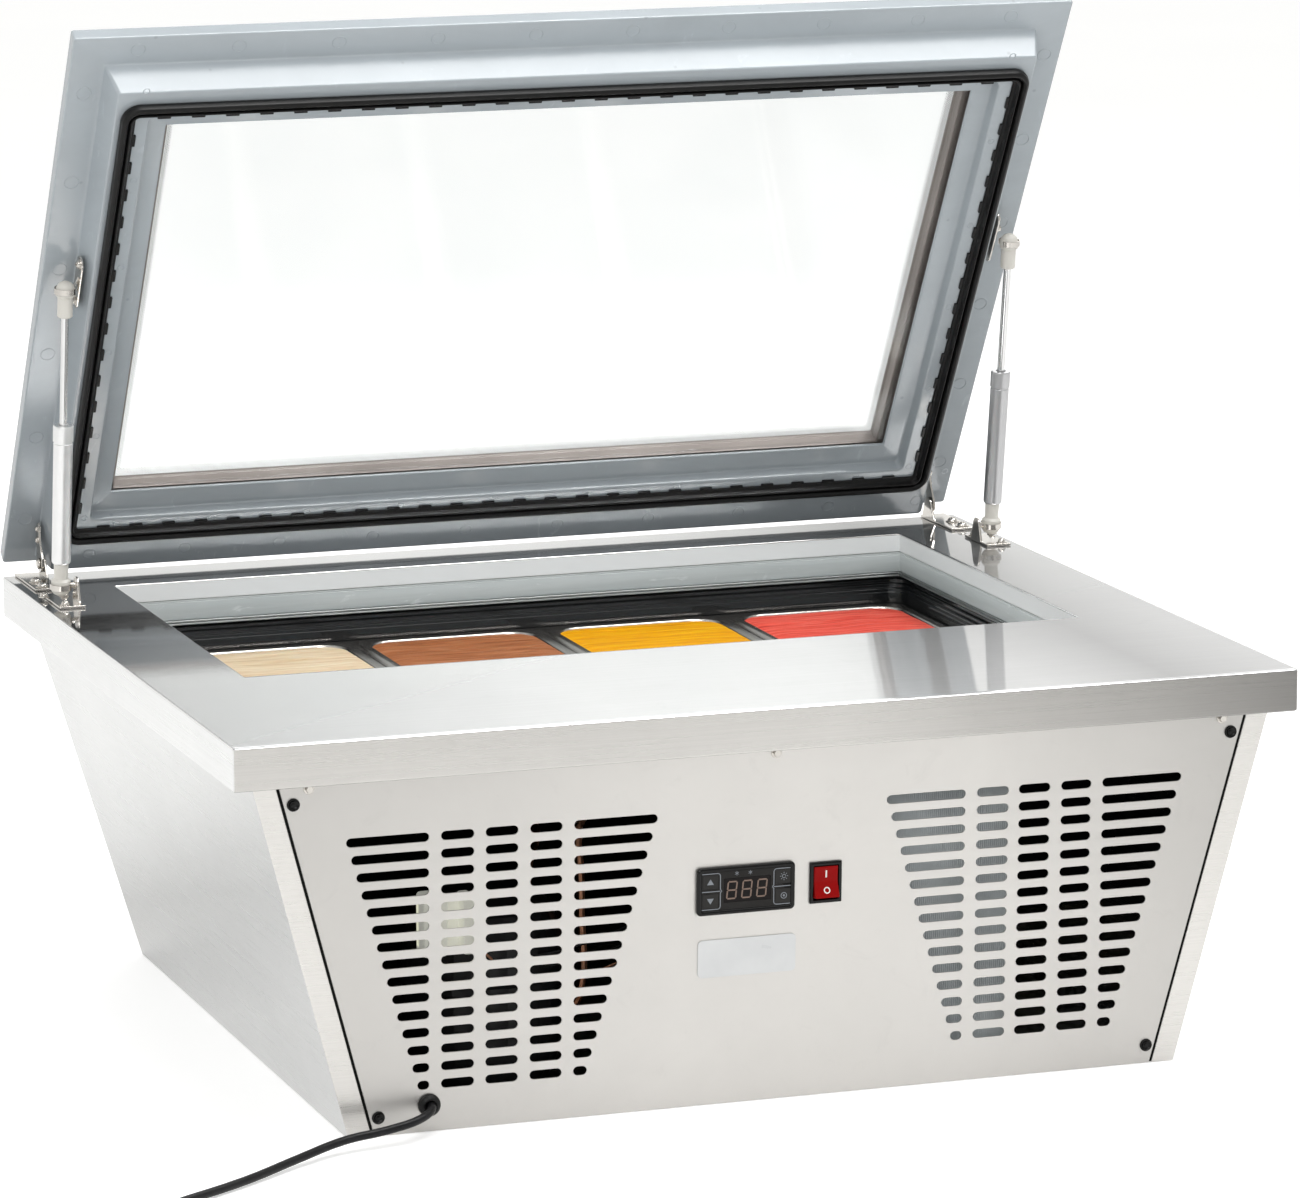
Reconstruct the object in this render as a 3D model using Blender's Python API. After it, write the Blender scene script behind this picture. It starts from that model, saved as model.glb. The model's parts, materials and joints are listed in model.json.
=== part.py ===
"""Countertop ice-cream chest freezer: tapered steel cabinet, glazed lid on gas struts, four pans.

Metres, +Z up, +X to the right, the front faces -Y. The origin is on the floor under the worktop's centre.
The lid is at rest open and every pan hangs in its rack.
"""

import bmesh
import bpy
from math import atan2, cos, hypot, pi, radians, sin
from mathutils import Matrix, Vector

# ---------------------------------------------------------------- driving dimensions
GAP = 0.0003                    # air left between two pieces that touch
SHEET = 0.0012                  # cabinet steel

WORKTOP_W = 0.820
WORKTOP_D = 0.688
WORKTOP_H = 0.298
RIM_H = 0.032
RIM_UNDER = WORKTOP_H - RIM_H
RETURN_X = 0.384                # inner edge of the flange folded in under the rim
RETURN_FRONT = -0.320
RETURN_REAR = 0.304

OPEN_HALF_W = 0.3346            # serving opening
OPEN_FRONT = -0.1033
OPEN_REAR = 0.2757
OPEN_FOLD = 0.015               # steel folded down round the opening

BODY_TOP_HALF_W = 0.3932        # cabinet outside, under the rim
BODY_BOTTOM_HALF_W = 0.3228     # cabinet outside, on the floor
BODY_FRONT_TOP = -0.3290
BODY_FRONT_BOTTOM = -0.3210
BODY_REAR_TOP = 0.3146
BODY_REAR_BOTTOM = 0.2580
BODY_TOP = RIM_UNDER - GAP
FLANGE = 0.034                  # width of the side panels' front and rear flanges
PANEL_STEP = SHEET + GAP        # the front panel lies on the flanges
PANEL_TOP_HALF_W = 0.3734
PANEL_BOTTOM_HALF_W = 0.3029
PANEL_TILT = atan2(BODY_FRONT_BOTTOM - BODY_FRONT_TOP, RIM_UNDER)

SLOT_ROWS = 15
SLOT_TOP = 0.2195               # height of the first slot row
SLOT_PITCH = 0.01318
SLOT_H = 0.0066
LEFT_SLOTS = ((-0.2527, -0.2279), (-0.2192, -0.1947), (-0.1856, -0.1613))
RIGHT_SLOTS = ((0.1599, 0.1851), (0.1932, 0.2181), (0.2270, 0.2509))
SLOT_OUTER_TOP = 0.3234         # outer ends of the first row
SLOT_OUTER_BOTTOM = 0.2705      # outer ends of the last row
SLOT_INNER_TOP = 0.0888
SLOT_INNER_BOTTOM = 0.1420
SLOT_GAP = 0.0090               # steel left between two columns

CONTROL_X = -0.0211
CONTROL_Z = 0.1617
BEZEL_W = 0.0766
BEZEL_H = 0.0365
BEZEL_OUT = 0.0052
DISPLAY_X = -0.0200
DISPLAY_W = 0.0362
DISPLAY_H = 0.0178
KEY_W = 0.0125
KEY_H = 0.0105
KEY_LEFT_X = -0.0487
KEY_RIGHT_X = 0.0082
KEY_RISE = 0.0072
SWITCH_X = 0.0413
SWITCH_Z = 0.1614
SWITCH_W = 0.0250
SWITCH_H = 0.0312
ROCKER_LEAN = radians(10)
BADGE_X = -0.0195
BADGE_Z = 0.1107
BADGE_W = 0.0760
BADGE_H = 0.0283
CORD_X = -0.2619
CORD_Z = 0.0200
CORD_R = 0.0034
SCREW_HOLES = ((0.3624, 0.2508), (0.3000, 0.0138))

TRIM_T = 0.0038                 # bright band between collar and liner
PAN_COUNT = 4
PAN_PITCH = 0.159
PAN_W = 0.156
PAN_FRONT = -0.0915
PAN_REAR = 0.2705
PAN_DEPTH = 0.120
PAN_RIM_TOP = WORKTOP_H - 0.0565
PAN_RIM = 0.009                 # width of the rim
PAN_SHEET = 0.0010
PAN_CENTRE_X = 0.0165           # the row of pans stands to the right of the middle
PAN_CORNER = 0.022
RACK_T = 0.0015
RACK_TOP = PAN_RIM_TOP - PAN_SHEET - GAP

LINER_FLOOR = 0.105
LINER_T = 0.002
LINER_LEDGE = RACK_TOP - RACK_T - GAP
LINER_SHOULDER = 0.0100         # the liner's top stands this far outside the opening
LINER_STEPS = ((0.0060, 0.2550), (0.0020, 0.2495))     # offset and height of each step down to the ledge
POCKET_HALF_W = 0.3255          # liner below the ledge
POCKET_FRONT = -0.0925
POCKET_REAR = 0.2615
FOAM_FRONT = -0.135
FOAM_FLOOR = 0.078

LID_HALF_W = 0.4065
LID_LENGTH = 0.522
LID_OPEN = radians(59)
LID_REAR = 0.345                # rear edge of the lid when it is shut
LID_UNDER = WORKTOP_H + 0.036   # underside of the lid's flange when it is shut
LID_TOP = 0.012                 # thickness of the flange
PLATEAU = 0.026                 # depth of the raised frame under the flange
PIVOT = Vector((0.0, 0.327, WORKTOP_H + 0.012))
LIP_DEPTH = 0.0125              # the glazing lies on a lip this far under the flange
LIP_T = 0.003
LIP_EDGE = (0.3298, 0.0818, 0.4487)     # half width, near and far edge of the glass in view
GLAZING = (0.3534, 0.0518, 0.4762)      # the same three of the panes
GLASS_T = 0.004
SPACER_W = 0.0272
SPACER_T = 0.015

EAR_X = 0.3795                  # inner face of the ears that stand on the worktop
EAR_T = 0.0018
FOOT_X = 0.4005                 # outer edge of every hinge and strut plate
BRACKET_X = 0.3808              # inner face of the ears under the lid's flange
PIN_R = 0.0030
PIN_BORE_R = 0.0031
STRUT_X = 0.393
BALL_LOW = Vector((STRUT_X, 0.219, WORKTOP_H + 0.014))
BALL_HIGH_S = 0.297             # from the lid's rear edge, along the lid
BALL_HIGH_N = 0.022             # under the lid's flange
TUBE_R = 0.0075
TUBE_END = 0.132
BORE_R = 0.0031
ROD_R = 0.0030
SOCKET_R = 0.0088
SOCKET_HALF = 0.0070
BALL_R = 0.00485
POCKET_R = 0.0050

COMPRESSOR_X = -0.192
COMPRESSOR_Y = -0.232
COMPRESSOR_R = 0.060
CONDENSER_X = (0.062, 0.192)
CONDENSER_Y = (-0.312, -0.274)
CONDENSER_Z = (0.022, 0.232)
CONDENSER_FINS = 16
FAN_Z = 0.127
FAN_R = 0.056
FAN_HOLE_R = 0.059
SHROUD_T = 0.016
SUCTION_R = 0.0038
DISCHARGE_R = 0.0030
COIL_R = 0.0036
COIL_RUNS = 5
COIL_PITCH = 0.062
COIL_REACH = 0.26
TERMINAL_X = (-0.262, -0.214)
TERMINAL_Z = (0.126, 0.172)
TERMINAL_DEPTH = 0.017

# ---------------------------------------------------------------- materials
STEEL = ("brushed_steel", (0.62, 0.61, 0.59), 0.28, 1.0)
CHROME = ("bright_nickel", (0.78, 0.77, 0.74), 0.16, 1.0)
ALUMINIUM = ("satin_aluminium", (0.60, 0.60, 0.60), 0.35, 1.0)
PAN_STEEL = ("pan_steel", (0.70, 0.70, 0.69), 0.22, 1.0)
LID_PLASTIC = ("blue_grey_plastic", (0.44, 0.48, 0.51), 0.38, 0.0)
THROAT_PLASTIC = ("pale_grey_plastic", (0.55, 0.58, 0.58), 0.30, 0.0)
LINER_BLACK = ("black_liner", (0.010, 0.010, 0.011), 0.25, 0.0)
SEAL_RUBBER = ("seal_rubber", (0.012, 0.012, 0.013), 0.55, 0.0)
BRONZE = ("bronze_spacer", (0.23, 0.17, 0.13), 0.40, 0.6)
GLASS = ("lid_glass", (0.86, 0.90, 0.89), 0.03, 0.0)
FOAM = ("pale_foam", (0.80, 0.72, 0.48), 0.90, 0.0)
GALVANISED = ("galvanised_steel", (0.50, 0.51, 0.52), 0.45, 1.0)
COPPER = ("copper", (0.72, 0.36, 0.22), 0.30, 1.0)
PAINT_BLACK = ("black_paint", (0.015, 0.015, 0.016), 0.40, 0.0)
CABLE_BLACK = ("cable_black", (0.013, 0.013, 0.014), 0.50, 0.0)
CONTROL_BLACK = ("control_black", (0.014, 0.014, 0.015), 0.32, 0.0)
DISPLAY = ("smoked_display", (0.035, 0.030, 0.032), 0.12, 0.0)
KEY_GREY = ("key_grey", (0.060, 0.062, 0.066), 0.45, 0.0)
ROCKER_RED = ("rocker_red", (0.70, 0.015, 0.018), 0.22, 0.0)
SOCKET_BEIGE = ("beige_plastic", (0.66, 0.62, 0.54), 0.45, 0.0)
BLOCK_CREAM = ("cream_plastic", (0.75, 0.72, 0.64), 0.50, 0.0)
BADGE_GREY = ("badge_grey", (0.70, 0.74, 0.78), 0.35, 0.0)
FLAVOURS = (
    ("vanilla", (0.86, 0.70, 0.46), 0.55, 0.0),
    ("chocolate", (0.36, 0.13, 0.055), 0.55, 0.0),
    ("mango", (0.90, 0.52, 0.012), 0.50, 0.0),
    ("strawberry", (0.86, 0.12, 0.09), 0.50, 0.0),
)


def clear_scene():
    for existing in list(bpy.data.objects):
        bpy.data.objects.remove(existing, do_unlink=True)


def material(spec):
    name, colour, roughness, metallic = spec
    found = bpy.data.materials.get(name)
    if found:
        return found
    made = bpy.data.materials.new(name)
    made.use_nodes = True
    shader = made.node_tree.nodes["Principled BSDF"]
    shader.inputs["Base Color"].default_value = (*colour, 1.0)
    shader.inputs["Roughness"].default_value = roughness
    shader.inputs["Metallic"].default_value = metallic
    made.diffuse_color = (*colour, 1.0)
    return made


def place(obj, parent=None, location=(0, 0, 0), rotation=(0, 0, 0)):
    obj.location = location
    obj.rotation_euler = rotation
    obj.parent = parent
    return obj


def empty(name, location=(0, 0, 0), rotation=(0, 0, 0), parent=None):
    made = bpy.data.objects.new(name, None)
    bpy.context.scene.collection.objects.link(made)
    return place(made, parent, location, rotation)


def solid(name, mesh, spec, smooth=False):
    """Links a bmesh as one named object, its faces turned outwards."""
    bmesh.ops.recalc_face_normals(mesh, faces=mesh.faces)
    data = bpy.data.meshes.new(name)
    mesh.to_mesh(data)
    mesh.free()
    made = bpy.data.objects.new(name, data)
    bpy.context.scene.collection.objects.link(made)
    data.materials.append(material(spec))
    if smooth:
        data.shade_smooth()
        data.set_sharp_from_angle(angle=radians(35))
    return made


def ring_points(x0, x1, y0, y1, z, radius=0.0, steps=0):
    """A rectangle seen from above, its corners rounded in equal steps."""
    if steps == 0:
        return [Vector((x0, y0, z)), Vector((x1, y0, z)), Vector((x1, y1, z)), Vector((x0, y1, z))]
    points = []
    centres = ((x1, y0, -90), (x1, y1, 0), (x0, y1, 90), (x0, y0, 180))
    for cx, cy, start in centres:
        mx = cx - radius if cx == x1 else cx + radius
        my = cy - radius if cy == y1 else cy + radius
        for step in range(steps + 1):
            angle = radians(start + 90 * step / steps)
            points.append(Vector((mx + radius * cos(angle), my + radius * sin(angle), z)))
    return points


def loft(name, rings, spec, closed=False, smooth=False):
    """Joins rings of equal count. A closed loft is a frame; an open one is capped at both ends."""
    mesh = bmesh.new()
    loops = []
    for ring in rings:
        loops.append([mesh.verts.new(point) for point in ring])
    pairs = list(zip(loops, loops[1:]))
    if closed:
        pairs.append((loops[-1], loops[0]))
    else:
        mesh.faces.new(loops[0])
        mesh.faces.new(loops[-1])
    for low, high in pairs:
        for i in range(len(low)):
            j = (i + 1) % len(low)
            mesh.faces.new((low[i], low[j], high[j], high[i]))
    return solid(name, mesh, spec, smooth)


def box(name, x, y, z, spec):
    return loft(name, [ring_points(*x, *y, z[0]), ring_points(*x, *y, z[1])], spec)


def lathe(name, profile, spec, sides=24, ring=False):
    """Turns (radius, height) pairs about local Z. A ring profile closes on itself; any other ends on the axis."""
    rings = []
    for radius, height in profile:
        turn = [2 * pi * k / sides for k in range(sides)]
        rings.append([Vector((radius * cos(a), radius * sin(a), height)) for a in turn])
    return loft(name, rings, spec, closed=ring, smooth=True)


def sheet(name, loops, thickness, spec):
    """A flat plate in local XY with holes: the first loop is the outline. Local z = 0 is mid-thickness."""
    data = bpy.data.curves.new(name, "CURVE")
    data.dimensions = "2D"
    data.fill_mode = "BOTH"
    data.extrude = thickness / 2
    for loop in loops:
        spline = data.splines.new("POLY")
        spline.points.add(len(loop) - 1)
        for point, (x, y) in zip(spline.points, loop):
            point.co = (x, y, 0, 1)
        spline.use_cyclic_u = True
    made = bpy.data.objects.new(name, data)
    bpy.context.scene.collection.objects.link(made)
    data.materials.append(material(spec))
    return made


def rectangle(cx, cy, width, height):
    a = width / 2
    b = height / 2
    return [(cx - a, cy - b), (cx + a, cy - b), (cx + a, cy + b), (cx - a, cy + b)]


def round_hole(cx, cy, radius, sides=12):
    turn = [2 * pi * (k + 0.5) / sides for k in range(sides)]
    return [(cx + radius * cos(a), cy + radius * sin(a)) for a in turn]


def slot(x0, x1, y):
    """A punched slot with chamfer-round ends."""
    h = SLOT_H / 2
    a = h * 0.55
    return [
        (x0 + a, y - h), (x1 - a, y - h), (x1, y - h * 0.35), (x1, y + h * 0.35),
        (x1 - a, y + h), (x0 + a, y + h), (x0, y + h * 0.35), (x0, y - h * 0.35),
    ]


def tube(name, points, radius, spec, sides=2, straight=False):
    """A round wire or pipe, closed at both ends, along a smooth or a straight-sided path."""
    data = bpy.data.curves.new(name, "CURVE")
    data.dimensions = "3D"
    data.bevel_depth = radius
    data.bevel_resolution = sides
    data.use_fill_caps = True
    data.resolution_u = 4
    spline = data.splines.new("POLY" if straight else "BEZIER")
    if straight:
        spline.points.add(len(points) - 1)
        for point, at in zip(spline.points, points):
            point.co = (*at, 1)
    else:
        spline.bezier_points.add(len(points) - 1)
        for point, at in zip(spline.bezier_points, points):
            point.co = at
            point.handle_left_type = "AUTO"
            point.handle_right_type = "AUTO"
    made = bpy.data.objects.new(name, data)
    bpy.context.scene.collection.objects.link(made)
    data.materials.append(material(spec))
    return made


def boolean(target, other, operation):
    """Adds an exact Boolean and turns the second shape into a hidden helper."""
    step = target.modifiers.new(operation.lower(), "BOOLEAN")
    step.operation = operation
    step.solver = "EXACT"
    step.object = other
    other.hide_render = True
    other.display_type = "WIRE"
    return target


def front_point(x, z, out=0.0):
    """A point on the front panel's plane at height z, moved outwards by out."""
    y = BODY_FRONT_BOTTOM - z * sin(PANEL_TILT) / cos(PANEL_TILT)
    return Vector((x, y - out * cos(PANEL_TILT), z - out * sin(PANEL_TILT)))


def on_front(obj, x, z, out, parent=None):
    """Stands a plate or turned piece on the front panel, its local Z pointing out of the cabinet."""
    return place(obj, parent, front_point(x, z, out), (pi / 2 + PANEL_TILT, 0, 0))


# ---------------------------------------------------------------- cabinet
def half_width(z):
    share = z / RIM_UNDER
    return BODY_BOTTOM_HALF_W + (BODY_TOP_HALF_W - BODY_BOTTOM_HALF_W) * share


def rear_at(z):
    return BODY_REAR_BOTTOM + (BODY_REAR_TOP - BODY_REAR_BOTTOM) * z / RIM_UNDER


def side_profile(side, z):
    """Plan of a side panel at height z: a wall with a flange at the front and one at the rear."""
    wall = half_width(z)
    front = front_point(0, z).y + PANEL_STEP
    rear = rear_at(z)
    inner = wall - SHEET
    lip = wall - FLANGE
    plan = (
        (wall, front), (wall, rear), (lip, rear), (lip, rear - SHEET),
        (inner, rear - SHEET), (inner, front + SHEET), (lip, front + SHEET), (lip, front),
    )
    return [Vector((side * x, y, z)) for x, y in plan]


def side_panel(name, side):
    return loft(name, [side_profile(side, 0), side_profile(side, BODY_TOP)], STEEL)


def rear_panel():
    """A plate behind the cabinet, its lower edge on the floor, lying on the side panels' rear flanges."""
    rings = []
    for z in (0, BODY_TOP):
        rear = rear_at(z) - SHEET - GAP
        half = half_width(z) - SHEET - GAP
        rings.append(ring_points(-half, half, rear - SHEET, rear, z))
    return loft("rear_panel", rings, STEEL)


def base_pan():
    """A tray between the walls, turned up all round."""
    inset = 0.0025
    half = BODY_BOTTOM_HALF_W - inset
    front = BODY_FRONT_BOTTOM + PANEL_STEP + 0.008
    rear = BODY_REAR_BOTTOM - 3 * SHEET - 3 * GAP
    upturn = 0.012
    rings = [
        ring_points(-half, half, front, rear, 0),
        ring_points(-half, half, front, rear, upturn),
        ring_points(-half + SHEET, half - SHEET, front + SHEET, rear - SHEET, upturn),
        ring_points(-half + SHEET, half - SHEET, front + SHEET, rear - SHEET, SHEET),
    ]
    return loft("base_pan", rings, GALVANISED)


def grille(sign, columns):
    """Slots of one grille: three short columns between two that taper towards the middle."""
    found = []
    first = min(x for x, _ in columns)
    last = max(x for _, x in columns)
    for row in range(SLOT_ROWS):
        share = row / (SLOT_ROWS - 1)
        y = SLOT_TOP - row * SLOT_PITCH
        outer = SLOT_OUTER_TOP + (SLOT_OUTER_BOTTOM - SLOT_OUTER_TOP) * share
        inner = SLOT_INNER_TOP + (SLOT_INNER_BOTTOM - SLOT_INNER_TOP) * share
        ends = sorted((sign * outer, sign * inner))
        found.append(slot(ends[0], first - SLOT_GAP, y))
        found.append(slot(last + SLOT_GAP, ends[1], y))
        found.extend(slot(x0, x1, y) for x0, x1 in columns)
    return found


def front_panel():
    along = 1 / cos(PANEL_TILT)
    top = (BODY_TOP - 0.0005) * along
    outline = [
        (-PANEL_BOTTOM_HALF_W, 0), (PANEL_BOTTOM_HALF_W, 0),
        (PANEL_TOP_HALF_W, top), (-PANEL_TOP_HALF_W, top),
    ]
    loops = [outline]
    loops.extend(grille(-1, LEFT_SLOTS))
    loops.extend(grille(1, RIGHT_SLOTS))
    loops.append(rectangle(CONTROL_X, CONTROL_Z, BEZEL_W - 0.006, BEZEL_H - 0.007))
    loops.append(rectangle(SWITCH_X, SWITCH_Z, SWITCH_W - 0.003, SWITCH_H - 0.004))
    loops.append(round_hole(CORD_X, CORD_Z, 0.0068))
    for x, z in SCREW_HOLES:
        loops.append(round_hole(x, z, 0.0018, 8))
        loops.append(round_hole(-x, z, 0.0018, 8))
    made = sheet("front_panel", loops, SHEET, STEEL)
    return on_front(made, 0, 0, -SHEET / 2)


def worktop():
    """One folded sheet: top, rim, flange under the rim, and a fold down round the opening."""
    w = WORKTOP_W / 2
    d = WORKTOP_D / 2
    h = WORKTOP_H
    t = SHEET
    e = 0.0010                  # radius of the folds, as a chamfer
    ow = OPEN_HALF_W
    fold = h - OPEN_FOLD
    rings = [
        ring_points(-ow, ow, OPEN_FRONT, OPEN_REAR, fold),
        ring_points(-ow, ow, OPEN_FRONT, OPEN_REAR, h - e),
        ring_points(-ow - e, ow + e, OPEN_FRONT - e, OPEN_REAR + e, h),
        ring_points(-w + e, w - e, -d + e, d - e, h),
        ring_points(-w, w, -d, d, h - e),
        ring_points(-w, w, -d, d, RIM_UNDER),
        ring_points(-RETURN_X, RETURN_X, RETURN_FRONT, RETURN_REAR, RIM_UNDER),
        ring_points(-RETURN_X, RETURN_X, RETURN_FRONT, RETURN_REAR, RIM_UNDER + t),
        ring_points(-w + t, w - t, -d + t, d - t, RIM_UNDER + t),
        ring_points(-w + t, w - t, -d + t, d - t, h - t),
        ring_points(-ow - t, ow + t, OPEN_FRONT - t, OPEN_REAR + t, h - t),
        ring_points(-ow - t, ow + t, OPEN_FRONT - t, OPEN_REAR + t, fold),
    ]
    return loft("worktop", rings, STEEL, closed=True)


def opening_ring(offset, z):
    """The serving opening's outline at height z, grown by offset."""
    x = OPEN_HALF_W + offset
    return ring_points(-x, x, OPEN_FRONT - offset, OPEN_REAR + offset, z)


def throat_frame():
    """Plastic collar that carries on the wall of the opening down to the trim."""
    top = WORKTOP_H - OPEN_FOLD - GAP
    low = RIM_UNDER + 0.0003
    rings = [
        opening_ring(0.0006, low), opening_ring(0.0006, top), opening_ring(0.0034, top),
        opening_ring(0.0034, low + 0.002), opening_ring(0.026, low + 0.002), opening_ring(0.026, low),
    ]
    return loft("throat_frame", rings, THROAT_PLASTIC, closed=True)


def throat_trim():
    """Bright band that clamps the liner's flange under the collar."""
    top = RIM_UNDER
    low = top - TRIM_T
    rings = [
        opening_ring(0.0, low), opening_ring(0.0, top),
        opening_ring(0.024, top), opening_ring(0.024, low),
    ]
    return loft("throat_trim", rings, ALUMINIUM, closed=True)


def pocket_ring(offset, z):
    x = POCKET_HALF_W + offset
    return ring_points(-x, x, POCKET_FRONT - offset, POCKET_REAR + offset, z)


def inner_liner():
    """Open tub: stepped shoulder under the opening, ledge for the rack, deep pocket for the pans."""
    flange_top = RIM_UNDER - TRIM_T - GAP
    out = LINER_SHOULDER + LINER_T
    rings = [
        pocket_ring(LINER_T, LINER_FLOOR - LINER_T),
        pocket_ring(LINER_T, LINER_LEDGE - LINER_T),
        opening_ring(out, LINER_LEDGE - LINER_T),
        opening_ring(out, flange_top - LINER_T),
        opening_ring(out + 0.014, flange_top - LINER_T),
        opening_ring(out + 0.014, flange_top),
        opening_ring(LINER_SHOULDER, flange_top),
    ]
    wide = LINER_SHOULDER
    for narrow, level in LINER_STEPS:
        rings.append(opening_ring(wide, level))
        rings.append(opening_ring(narrow, level))
        wide = narrow
    rings.append(opening_ring(wide, LINER_LEDGE))
    rings.append(pocket_ring(0, LINER_LEDGE))
    rings.append(pocket_ring(0, LINER_FLOOR))
    return loft("inner_liner", rings, LINER_BLACK)


def foam_ring(z):
    clear = SHEET + 0.0016
    half = half_width(z) - clear
    return ring_points(-half, half, FOAM_FRONT, rear_at(z) - 2 * SHEET - 0.0016, z)


def insulation_foam():
    """Foamed tub that fills the cabinet round the liner, behind the machine compartment."""
    top = RIM_UNDER - TRIM_T - GAP - LINER_T - GAP
    skin = LINER_T + GAP
    shoulder = LINER_SHOULDER + skin
    rings = [
        foam_ring(FOAM_FLOOR), foam_ring(top), opening_ring(shoulder, top),
        opening_ring(shoulder, LINER_LEDGE - skin), pocket_ring(skin, LINER_LEDGE - skin),
        pocket_ring(skin, LINER_FLOOR - skin),
    ]
    return loft("insulation_foam", rings, FOAM)


def pan_x(index):
    return PAN_CENTRE_X + (index - (PAN_COUNT - 1) / 2) * PAN_PITCH


def pan_rack():
    """Plate on the liner's ledge with one cut-out for each pan."""
    x = OPEN_HALF_W + 0.0005
    front = OPEN_FRONT + 0.0004
    rear = OPEN_REAR - 0.0004
    outline = [(-x, front), (x, front), (x, rear), (-x, rear)]
    loops = [outline]
    body_w = PAN_W - 2 * PAN_RIM + 0.0012
    body_l = PAN_REAR - PAN_FRONT - 2 * PAN_RIM + 0.0012
    middle = (PAN_FRONT + PAN_REAR) / 2
    for index in range(PAN_COUNT):
        loops.append(rectangle(pan_x(index), middle, body_w, body_l))
    made = sheet("pan_rack", loops, RACK_T, PAN_STEEL)
    return place(made, None, (0, 0, RACK_TOP - RACK_T / 2))


def evaporator_coil():
    """Flat serpentine of pipe on the floor of the liner."""
    runs = COIL_RUNS
    pitch = COIL_PITCH
    start = (POCKET_FRONT + POCKET_REAR - (runs - 1) * pitch) / 2
    points = []
    for run in range(runs):
        way = 1 if run % 2 == 0 else -1
        y = start + run * pitch
        points.append((-way * COIL_REACH, y, 0))
        for step in range(7 if run < runs - 1 else 1):
            angle = pi * step / 6
            bend = pitch / 2
            points.append((way * (COIL_REACH + bend * sin(angle)), y + bend * (1 - cos(angle)), 0))
    spaced = [points[0]]
    for point in points[1:]:
        if hypot(point[0] - spaced[-1][0], point[1] - spaced[-1][1]) > 0.001:
            spaced.append(point)
    made = tube("evaporator_coil", spaced, COIL_R, COPPER, 1, straight=True)
    return place(made, None, (0, 0, LINER_FLOOR + COIL_R + 2 * GAP))


# ---------------------------------------------------------------- machine compartment
def compressor():
    """Hermetic shell with a domed lid on a base ring."""
    r = COMPRESSOR_R
    profile = (
        (r * 0.95, 0.0), (r * 0.95, 0.010), (r * 0.82, 0.014), (r * 0.97, 0.034), (r, 0.060),
        (r, 0.084), (r * 1.05, 0.086), (r * 1.05, 0.092), (r, 0.094), (r * 0.97, 0.120),
        (r * 0.84, 0.142), (r * 0.50, 0.158), (r * 0.12, 0.164),
    )
    made = lathe("compressor", profile, PAINT_BLACK, 28)
    return place(made, None, (COMPRESSOR_X, COMPRESSOR_Y, SHEET + GAP))


def terminal_box():
    """Relay cover on the front of the compressor."""
    y = COMPRESSOR_Y - COMPRESSOR_R * 1.05 - GAP
    return box("terminal_box", TERMINAL_X, (y - TERMINAL_DEPTH, y), TERMINAL_Z, BLOCK_CREAM)


def condenser():
    """Block of upright fins on a core."""
    x0, x1 = CONDENSER_X
    y0, y1 = CONDENSER_Y
    pitch = (x1 - x0) / CONDENSER_FINS
    root = 0.012
    thick = pitch * 0.35
    plan = []
    for k in range(CONDENSER_FINS):
        left = x0 + k * pitch
        plan.extend(((left, y0), (left + thick, y0), (left + thick, y0 + root)))
        plan.append((left + pitch, y0 + root))
    plan.extend(((x1, y0), (x1 + thick, y0), (x1 + thick, y1), (x0, y1)))
    rings = []
    for z in CONDENSER_Z:
        rings.append([Vector((x, y, z)) for x, y in plan])
    return loft("condenser", rings, GALVANISED)


def fan_centre():
    return (sum(CONDENSER_X) / 2, CONDENSER_Y[1], FAN_Z)


def fan_shroud():
    """Plate behind the condenser with a round hole that the blades turn in."""
    x, y, z = fan_centre()
    width = CONDENSER_X[1] - CONDENSER_X[0]
    height = CONDENSER_Z[1] - CONDENSER_Z[0]
    offset = (CONDENSER_Z[0] + CONDENSER_Z[1]) / 2 - z
    loops = [rectangle(0, offset, width, height), round_hole(0, 0, FAN_HOLE_R, 32)]
    made = sheet("fan_shroud", loops, SHROUD_T, GALVANISED)
    return place(made, None, (x, y + SHROUD_T / 2 + GAP, z), (pi / 2, 0, 0))


def fan_blade():
    """Hub with five pitched blades, turning about local Z."""
    made = lathe("fan_blade", ((0.014, -0.005), (0.014, 0.005), (0.010, 0.007)), ALUMINIUM, 20)
    blades = bmesh.new()
    for k in range(5):
        turn = Matrix.Rotation(2 * pi * k / 5, 4, "Z")
        pitch = Matrix.Rotation(radians(22), 4, "X")
        plan = ((0.011, -0.006), (FAN_R * 0.93, -0.017), (FAN_R * 0.93, 0.013), (0.011, 0.006))
        low = [blades.verts.new(turn @ pitch @ Vector((a, b, -0.0006))) for a, b in plan]
        high = [blades.verts.new(turn @ pitch @ Vector((a, b, 0.0006))) for a, b in plan]
        blades.faces.new(low[::-1])
        blades.faces.new(high)
        for i in range(4):
            j = (i + 1) % 4
            blades.faces.new((low[i], low[j], high[j], high[i]))
    cut = solid("fan_blade_vanes", blades, ALUMINIUM)
    x, y, z = fan_centre()
    place(made, None, (x, y + SHROUD_T / 2 + 0.0005, z), (-pi / 2, 0, 0))
    place(cut, made)
    return boolean(made, cut, "UNION")


def fan_motor():
    """Motor on a strap across the shroud's hole."""
    x, y, z = fan_centre()
    back = y + SHROUD_T + 2 * GAP
    profile = ((0.006, 0), (0.006, 0.003), (0.026, 0.005), (0.026, 0.040), (0.012, 0.046))
    made = lathe("fan_motor", profile, PAINT_BLACK, 24)
    place(made, None, (x, back, z), (-pi / 2, 0, 0))
    strap = box("fan_motor_strap", (-0.062, 0.062), (-0.007, 0.007), (0.0, 0.0042), GALVANISED)
    place(strap, made)
    return boolean(made, strap, "UNION")


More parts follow.
